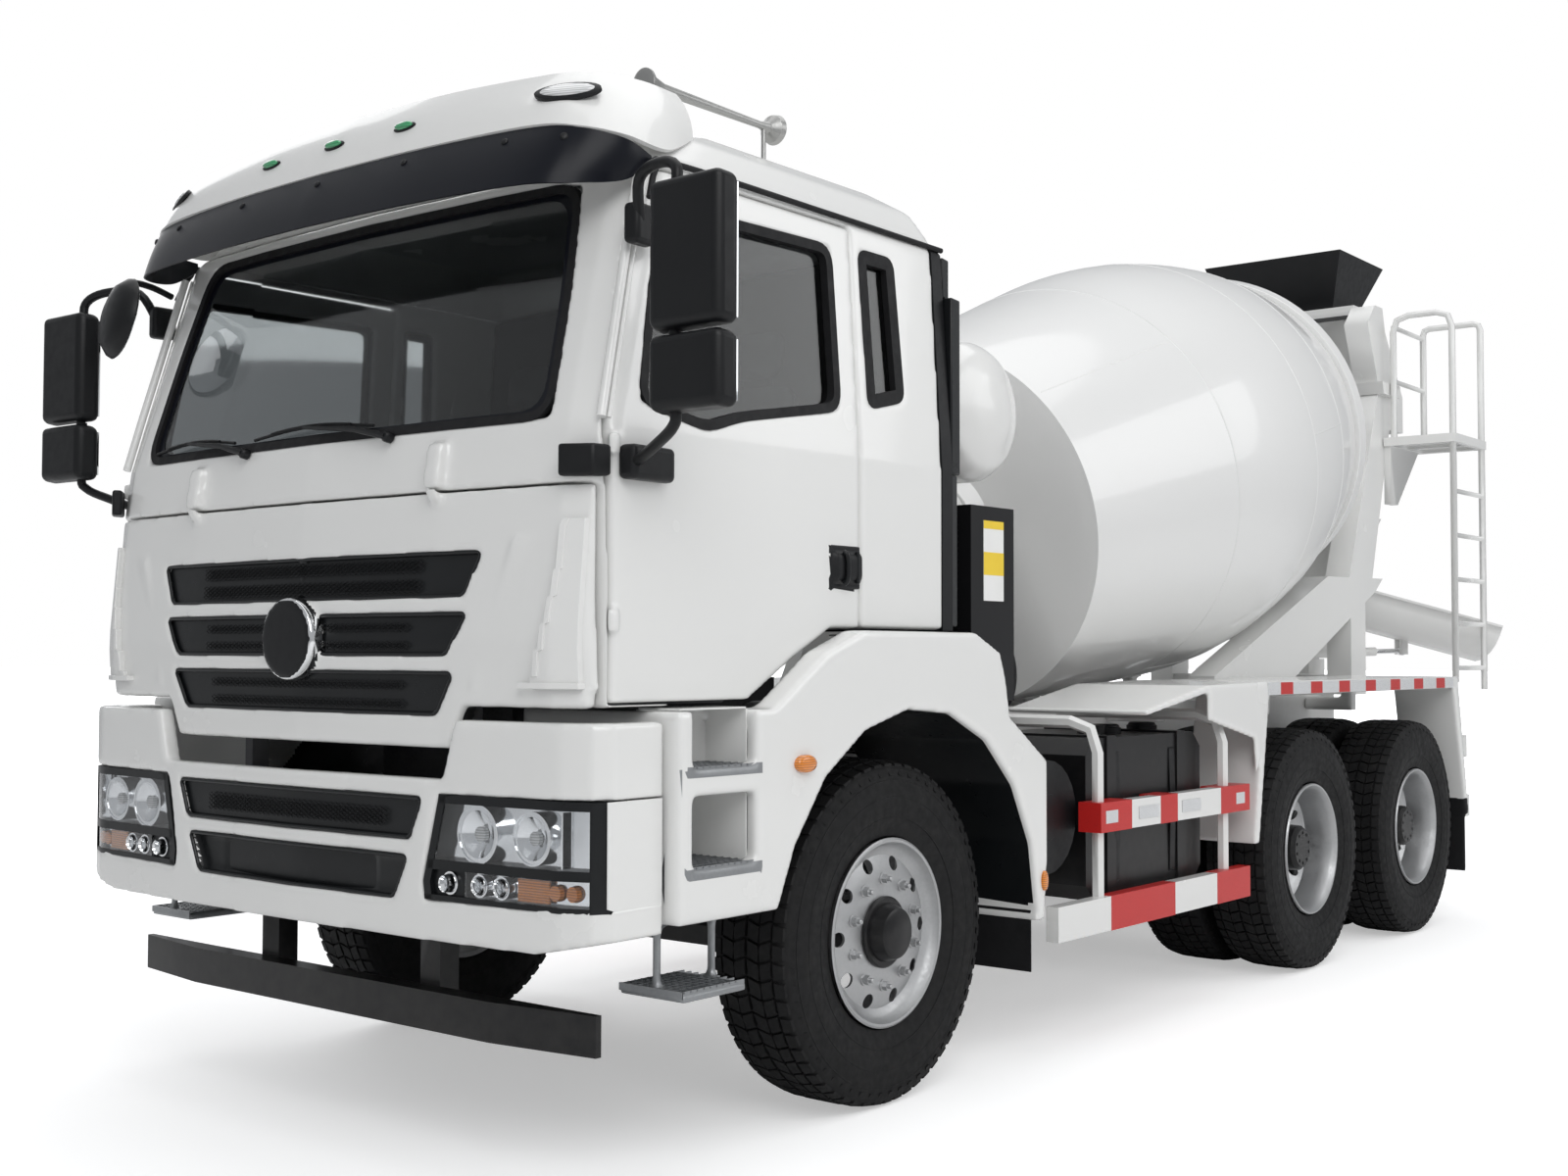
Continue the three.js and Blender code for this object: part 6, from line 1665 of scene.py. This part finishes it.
HORN_X, HORN_FRONT, HORN_BACK = 700, -700, -60
horns = Shape()
horns.turn([(0, 1), (0, 30), (6, 44), (14, 44), (40, 28), (90, 17), (560, 12), (600, 20), (620, 46),
            (640, 50), (648, 40), (650, 1)], (HORN_X, HORN_FRONT, 3150), (0, 1, 0), 40)
for y in (HORN_FRONT + 120, HORN_BACK - 60):
    horns.rod((HORN_X, y, 2925), (HORN_X, y, 3145), 8, 12)
horns.done("air_horn", BARE_STEEL, "cab", "steel", 35)

corner_mirror = Shape()
corner_mirror.turn([(-56, 1), (-54, 50), (-40, 104), (-10, 136), (6, 141), (12, 134), (12, 1)],
                   (-1090, -1352, 2540), (0.25, 0.95, -0.2), 48)
corner_mirror.bar(smooth_line([(-1080, -1170, 2640), (-1070, -1260, 2660), (-1080, -1330, 2660),
                               (-1088, -1380, 2600)], 6),
                  11, 12)
corner_mirror.done("front_mirror", BLACK_PLASTIC, "cab", "dark_plastic", 40)
front_glass = Shape().turn([(12.5, 1), (12.5, 128), (15, 128), (17, 80), (18, 1)],
                           (-1090, -1352, 2540), (0.25, 0.95, -0.2), 48)
front_glass.done("front_mirror_glass", MIRROR_GLASS, "cab", "steel", 40)
for side, sign in SIDES.items():
    for name, body, shift, radius in (("pillar", "cab", -21, 13), ("door", f"door_{side}", 7, 7)):
        bead = Shape().bar([(1129, -1278 + shift, 2030), (1118, -1236 + shift, 2190),
                            (1104, -1187 + shift, 2370),
                            (1090, -1138 + shift, 2550), (1080, -1096 + shift, 2705)], radius, 12)
        bead.mirrored(sign).done(f"{name}_bead_{side}", WHITE_ENAMEL, body, "paint", 60)
print("cab fittings in place")

# %% [markdown]
# Between the axles sit a ribbed fuel tank with two straps and two caps, the air cleaner's drum
# with its lid, and the oil cooler with a blank label. Hoses run from the cooler back towards the
# drum's drive, past a small pump. They are bent tubes through points chosen along the real route.

# %% Tanks, cleaner and hoses
tank_low, tank_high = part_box("fuel_tank")
TANK = {"y": ((tank_low.y - AXLE_Y) / MM, (tank_high.y - AXLE_Y) / MM)}
straps = Shape()
for y in (TANK["y"][0] + 230, TANK["y"][0] + 690):
    line = [(470, y, 1093), (1060, y, 1093), (1110, y, 1078), (1134, y, 1040), (1140, y, 800),
            (1134, y, 560), (1110, y, 520)]
    for a, b in zip(line, line[1:]):
        a, b = Vector(a), Vector(b)
        out = (b - a).cross(Vector((0, 1, 0))).normalized() * 5
        wide = Vector((0, 22, 0))
        straps.plate([a - wide, a + wide, a + wide - out, a - wide - out], b - a)
straps.done("tank_straps", BLACK_PLASTIC, "chassis", "dark_metal", 30, 1.5, 1)
caps = Shape()
for y in (TANK["y"][0] + 520, TANK["y"][0] + 830):
    caps.turn([(0, 1), (0, 62), (30, 62), (34, 56), (40, 54), (44, 48), (44, 1)], (930, y, 1092),
              (0, 0, 1), 40)
caps.done("tank_caps", BLACK_PLASTIC, "chassis", "dark_plastic", 35)
clean = middle("air_cleaner")
lid = Shape()
lid_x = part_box("air_cleaner")[1].x / MM
lid.turn([(-60, 150), (-60, 206), (-50, 209), (-40, 206), (-12, 196), (-2, 180), (1, 150), (1, 90),
          (6, 84), (6, 1),
          (-60, 1)], (lid_x - 4, (clean.y - AXLE_Y) / MM, clean.z / MM), (1, 0, 0), 64)
for angle in range(0, 360, 60):
    a = math.radians(angle + 20)
    at = Vector((lid_x - 90, (clean.y - AXLE_Y) / MM + 208 * math.cos(a),
                 clean.z / MM + 208 * math.sin(a)))
    lid.rod(at, at + Vector((60, 0, 0)), 7, 10)
lid.done("air_cleaner_lid", BLACK_PLASTIC, "chassis", "dark_plastic", 35)

cooler_low, cooler_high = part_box("oil_cooler")
cooler_x = cooler_high.x / MM
label = Shape().box((cooler_x, cooler_x + 1.2), (650, 780), (1600, 1880))
label.done("cooler_label", LABEL_WHITE, "chassis", "paint", 30)
label_bands = Shape()
for low, high in ((1852, 1880), (1690, 1770)):
    label_bands.box((cooler_x + 1, cooler_x + 1.8), (650, 780), (low, high))
label_bands.done("cooler_label_bands", LABEL_YELLOW, "chassis", "paint", 30)
fins = Shape()
fin_row = row_of(Shape().box((0, 560), (-5, 0), (0, 4)), 46, (0.0, 0.0, 20.0), BLACK_ENAMEL)
add_mesh(fins, fin_row, (450, (cooler_low.y - AXLE_Y) / MM, 960))
fins.done("cooler_fins", BLACK_ENAMEL, "chassis", "dark_metal", 30)

HOSES = {
    "pump_hose_upper": ([(960, 852, 1500), (980, 900, 1470), (985, 950, 1380), (960, 990, 1290),
                         (900, 1040, 1230),
                         (780, 1130, 1215), (600, 1300, 1225), (430, 1480, 1300)], 19),
    "pump_hose_lower": ([(900, 852, 1390), (915, 905, 1350), (910, 960, 1260), (850, 1030, 1215),
                         (700, 1180, 1205), (520, 1350, 1215), (400, 1500, 1260)], 15),
    "drain_hose": ([(840, 852, 1180), (860, 900, 1150), (840, 960, 1100), (760, 1050, 1060),
                    (640, 1180, 1050), (520, 1320, 1060), (440, 1450, 1080)], 12),
    "jack_hose": ([(330, 5600, 1330), (380, 5640, 1330), (440, 5700, 1340), (430, 5760, 1355),
                   (380, 5790, 1370)], 8),
}
for name, (route, radius) in HOSES.items():
    pipe = Shape().bar(smooth_line(route, 6), radius, 14)
    pipe.done(name, SEAL_RUBBER, "chassis", "dark_plastic", 60)
pump = Shape()
pump.turn([(0, 1), (0, 58), (50, 62), (56, 70), (70, 70), (76, 60), (150, 56), (160, 40), (160, 1)],
          (700, 960, 1215), (0, 1, 0), 32)
pump.rod((560, 1010, 1200), (560, 1290, 1200), 26, 24)
pump.rod((640, 1010, 1170), (640, 1330, 1170), 20, 24)
pump.done("wash_pump", CAST_IRON, "chassis", "dark_metal", 35)
print(len(HOSES), "hoses laid")

# %% [markdown]
# Raised vanes stand at the corners of the grille panel. Each is a thin plate that follows the
# cab's bow, with a stepped inner edge.

# %% Corner vanes
VANE_STEPS = [(1322, 968), (1352, 968), (1354, 984), (1420, 992), (1424, 1006), (1490, 1012),
              (1494, 1024), (1560, 1030),
              (1564, 1040), (1630, 1044), (1634, 1050), (1745, 1052), (1764, 1060)]
for side, sign in SIDES.items():
    vane = Shape()
    patch(vane, [(z, x, 1112) for z, x in VANE_STEPS], cab_y, -16, 20, 10)
    patch(vane, [(1322, 930, 1116), (1338, 930, 1116)], cab_y, -24, 26, 10)
    patch(vane, [(z, x - 3, x + 14) for z, x in VANE_STEPS[2:]], cab_y, -22, 10, 3)
    vane.mirrored(sign).done(f"corner_vane_{side}", WHITE_ENAMEL, "front_panel", "paint", 30, 2.5,
                             2)
print("vanes with", len(VANE_STEPS), "levels")

# %% [markdown]
# The rear lamps are three red and amber blocks on each side of the underrun bar, and a plain
# number plate's place between them stays bare.

# %% Rear lamps
for side, sign in SIDES.items():
    red_lamps, amber_lamps, lamp_backs = Shape(), Shape(), Shape()
    lamp_backs.box((705, 1145), (5494, 5499), (855, 965))
    for x0, x1, made in ((715, 905, red_lamps), (915, 1015, amber_lamps), (1025, 1135, red_lamps)):
        made.box((x0, x1), (5499, 5510), (865, 955))
    red_lamps.mirrored(sign).done(f"tail_lamps_{side}", RED_LENS, "chassis", "glass", 30, 4, 2)
    amber_lamps.mirrored(sign).done(f"tail_flashers_{side}", AMBER_LENS, "chassis", "glass", 30, 4,
                                    2)
    lamp_backs.mirrored(sign).done(f"tail_lamp_backs_{side}", BLACK_PLASTIC, "chassis",
                                   "dark_plastic", 30, 2, 1)
print("rear lamps fitted")

# %% [markdown]
# The seats are padded. Each cushion begins as a rounded block a little smaller than its place,
# and a cloth simulation with air pressure inside swells it. How far a point may move is limited,
# so the pads keep clear of their neighbours. The right seat is the left one again, further over.

# %% Seats
SEAT_CLOTH = Finish("seat_cloth", (0.045, 0.047, 0.052), 0.8, Coat_Weight=0.5, Coat_Roughness=0.22)
weave = SEAT_CLOTH.node("ShaderNodeTexWave", {"wave_type": "BANDS", "bands_direction": "DIAGONAL"},
                        {"Vector": SEAT_CLOTH.place(), "Scale": 130.0, "Distortion": 1.2})
SEAT_CLOTH.set("Base Color", SEAT_CLOTH.mix(weave, (0.030, 0.031, 0.035), (0.055, 0.057, 0.063)))
SEAT_CLOTH.bump(SEAT_CLOTH.noise(26, 6) * 0.8 + weave * 0.2, 0.5, 0.004)
SWELL_LIMIT = 13      # how far the pressure may move a point
VOXEL = 10            # spacing of the pad's even mesh
CALM_FRAMES = 20      # frames until the cloth is nearly still
SEAT_X = 560          # from the truck's middle to a seat's middle
PADS = {
    "seat_cushion": ((SEAT_X, -380, 1748), (236, 246, 44), 0, 0.28),
    "seat_back": ((SEAT_X, -62, 2040), (218, 44, 272), -7.5, 0.28),
    "seat_head": ((SEAT_X, 10, 2416), (116, 26, 78), -6, 0.4),
}


def block(centre, half, lean, roundness, around=64, high=40):
    """A block with rounded edges, leaning about the truck's width."""
    def power(value):
        return math.copysign(abs(value) ** roundness, value)

    made = Shape()
    turn = Matrix.Rotation(math.radians(lean), 3, "X")
    rings = []
    for i in range(1, high):
        v = -math.pi / 2 + math.pi * i / high
        ring = []
        for k in range(around):
            u = 2 * math.pi * k / around
            flat = Vector((half[0] * power(math.cos(v)) * power(math.cos(u)),
                           half[1] * power(math.cos(v)) * power(math.sin(u)),
                           half[2] * power(math.sin(v))))
            ring.append(Vector(centre) + turn @ flat)
        rings.append(ring)
    return made.loft(rings)


def swollen(mesh):
    """The mesh after a short cloth simulation with pressure inside, its movement limited."""
    pad = bpy.data.objects.new("pad", mesh)
    scene.collection.objects.link(pad)
    remesh = pad.modifiers.new("remesh", "REMESH")
    remesh.mode = "VOXEL"
    remesh.voxel_size = VOXEL * MM
    even = result_of(pad)
    pad.modifiers.remove(remesh)
    pad.data = even
    cloth = pad.modifiers.new("cloth", "CLOTH")
    cloth.settings.use_pressure = True
    cloth.settings.uniform_pressure_force = 4
    cloth.settings.effector_weights.gravity = 0
    for frame in range(1, CALM_FRAMES + 1):
        scene.frame_set(frame)
    moved = pad.evaluated_get(bpy.context.evaluated_depsgraph_get())
    ends = [vertex.co.copy() for vertex in moved.data.vertices]
    pad.modifiers.remove(cloth)
    for vertex, end in zip(even.vertices, ends):
        step = end - vertex.co
        if step.length > SWELL_LIMIT * MM:
            step *= SWELL_LIMIT * MM / step.length
        vertex.co += step
    scene.frame_set(1)
    finer = pad.modifiers.new("finer", "SUBSURF")
    finer.levels = finer.render_levels = 1
    smooth = result_of(pad)
    bpy.data.objects.remove(pad)
    return smooth


def piping(tree, loop):
    """A cord laid on the pad, through the nearest places to a loop."""
    line = [tree.find_nearest(point * MM + Vector((0, AXLE_Y, 0)))[0] for point in loop]
    return [(point - Vector((0, AXLE_Y, 0))) / MM for point in line + line[:1]]


pad_meshes, cord_shapes = {}, {}
for name, (centre, half, lean, roundness) in PADS.items():
    start = bpy.data.meshes.new(name)
    shape = block(centre, half, lean, roundness).mesh
    bmesh.ops.recalc_face_normals(shape, faces=shape.faces)
    shape.to_mesh(start)
    for vertex in start.vertices:
        vertex.co = vertex.co * MM + Vector((0, AXLE_Y, 0))
    pad_meshes[name] = swollen(start)
    tree = BVHTree.FromPolygons([v.co for v in pad_meshes[name].vertices],
                                [tuple(face.vertices) for face in pad_meshes[name].polygons])
    lies_flat = name == "seat_cushion"
    across = 1 if lies_flat else 2
    loop = []
    for k in range(96):
        u = 2 * math.pi * k / 96
        spot_on = Vector(centre)
        spot_on.x += half[0] * 1.1 * math.copysign(abs(math.cos(u)) ** 0.4, math.cos(u))
        spot_on[across] += half[across] * 1.1 * math.copysign(abs(math.sin(u)) ** 0.4, math.sin(u))
        if not lies_flat:
            spot_on.y += (spot_on.z - centre[2]) * math.tan(math.radians(-lean))
        loop.append(spot_on)
    cord_shapes[name] = piping(tree, loop)
shift = Vector((-2 * SEAT_X * MM, 0, 0))
for side in SIDES:
    over = Vector((0, 0, 0)) if side == "left" else shift
    for name, mesh in pad_meshes.items():
        own = mesh.copy()
        own.name = f"{name}_{side}"
        for vertex in own.vertices:
            vertex.co += over
        shade(own, 60)
        cover = link(f"{name}_{side}", own, SEAT_CLOTH)
        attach(cover, "cab")
        cord = Shape().bar([point + over / MM for point in cord_shapes[name]], 3.5, 8)
        cord.done(f"{name}_piping_{side}", SEAL_RUBBER, "cab", "seat_cloth", 60)
    x = SEAT_X + over.x / MM
    base = Shape()
    base.box((x - 170, x + 170), (-560, -170), (1538, 1560))
    for k in range(5):
        reach = 150 if k % 2 else 162
        base.box((x - reach, x + reach), (-540 + (162 - reach), -190 - (162 - reach)),
                 (1560 + k * 24, 1584 + k * 24))
    base.box((x - 200, x + 200), (-600, -150), (1680, 1694))
    for way in (-1, 1):
        base.rod((x + way * 62, 8, 2300), (x + way * 62, 12, 2360), 6, 12)
    seat_base = base.done(f"seat_base_{side}", BLACK_PLASTIC, "cab", "dark_plastic", 35, 2, 1)
    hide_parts(f"seat_{side}")
print("two seats with", len(PADS), "pads each")

# %% [markdown]
# The steering wheel is a round rim on three spokes, in front of the left seat.

# %% Steering wheel
WHEEL_CENTRE = Vector((SEAT_X, -800, 1990))
wheel_axis = Vector((0, -0.64, -0.77)).normalized()
wheel_side = Vector((1, 0, 0))
wheel_up = wheel_axis.cross(wheel_side).normalized()
rim = Shape()
rim.turn([(16 * math.sin(a), 215 + 16 * math.cos(a))
          for a in (2 * math.pi * i / 20 for i in range(20))],
         WHEEL_CENTRE, wheel_axis, 72)
rim.turn([(-24, 1), (-24, 52), (-14, 66), (14, 66), (24, 40), (24, 1)], WHEEL_CENTRE, wheel_axis,
         40)
for angle in (0, 180, 270):
    a = math.radians(angle)
    out = wheel_side * math.cos(a) + wheel_up * math.sin(a)
    rim.rod(WHEEL_CENTRE + out * 50, WHEEL_CENTRE + out * 212, 11, 14)
rim.done("steering_wheel", BLACK_PLASTIC, "cab", "dark_plastic", 50)
print("steering wheel in place")
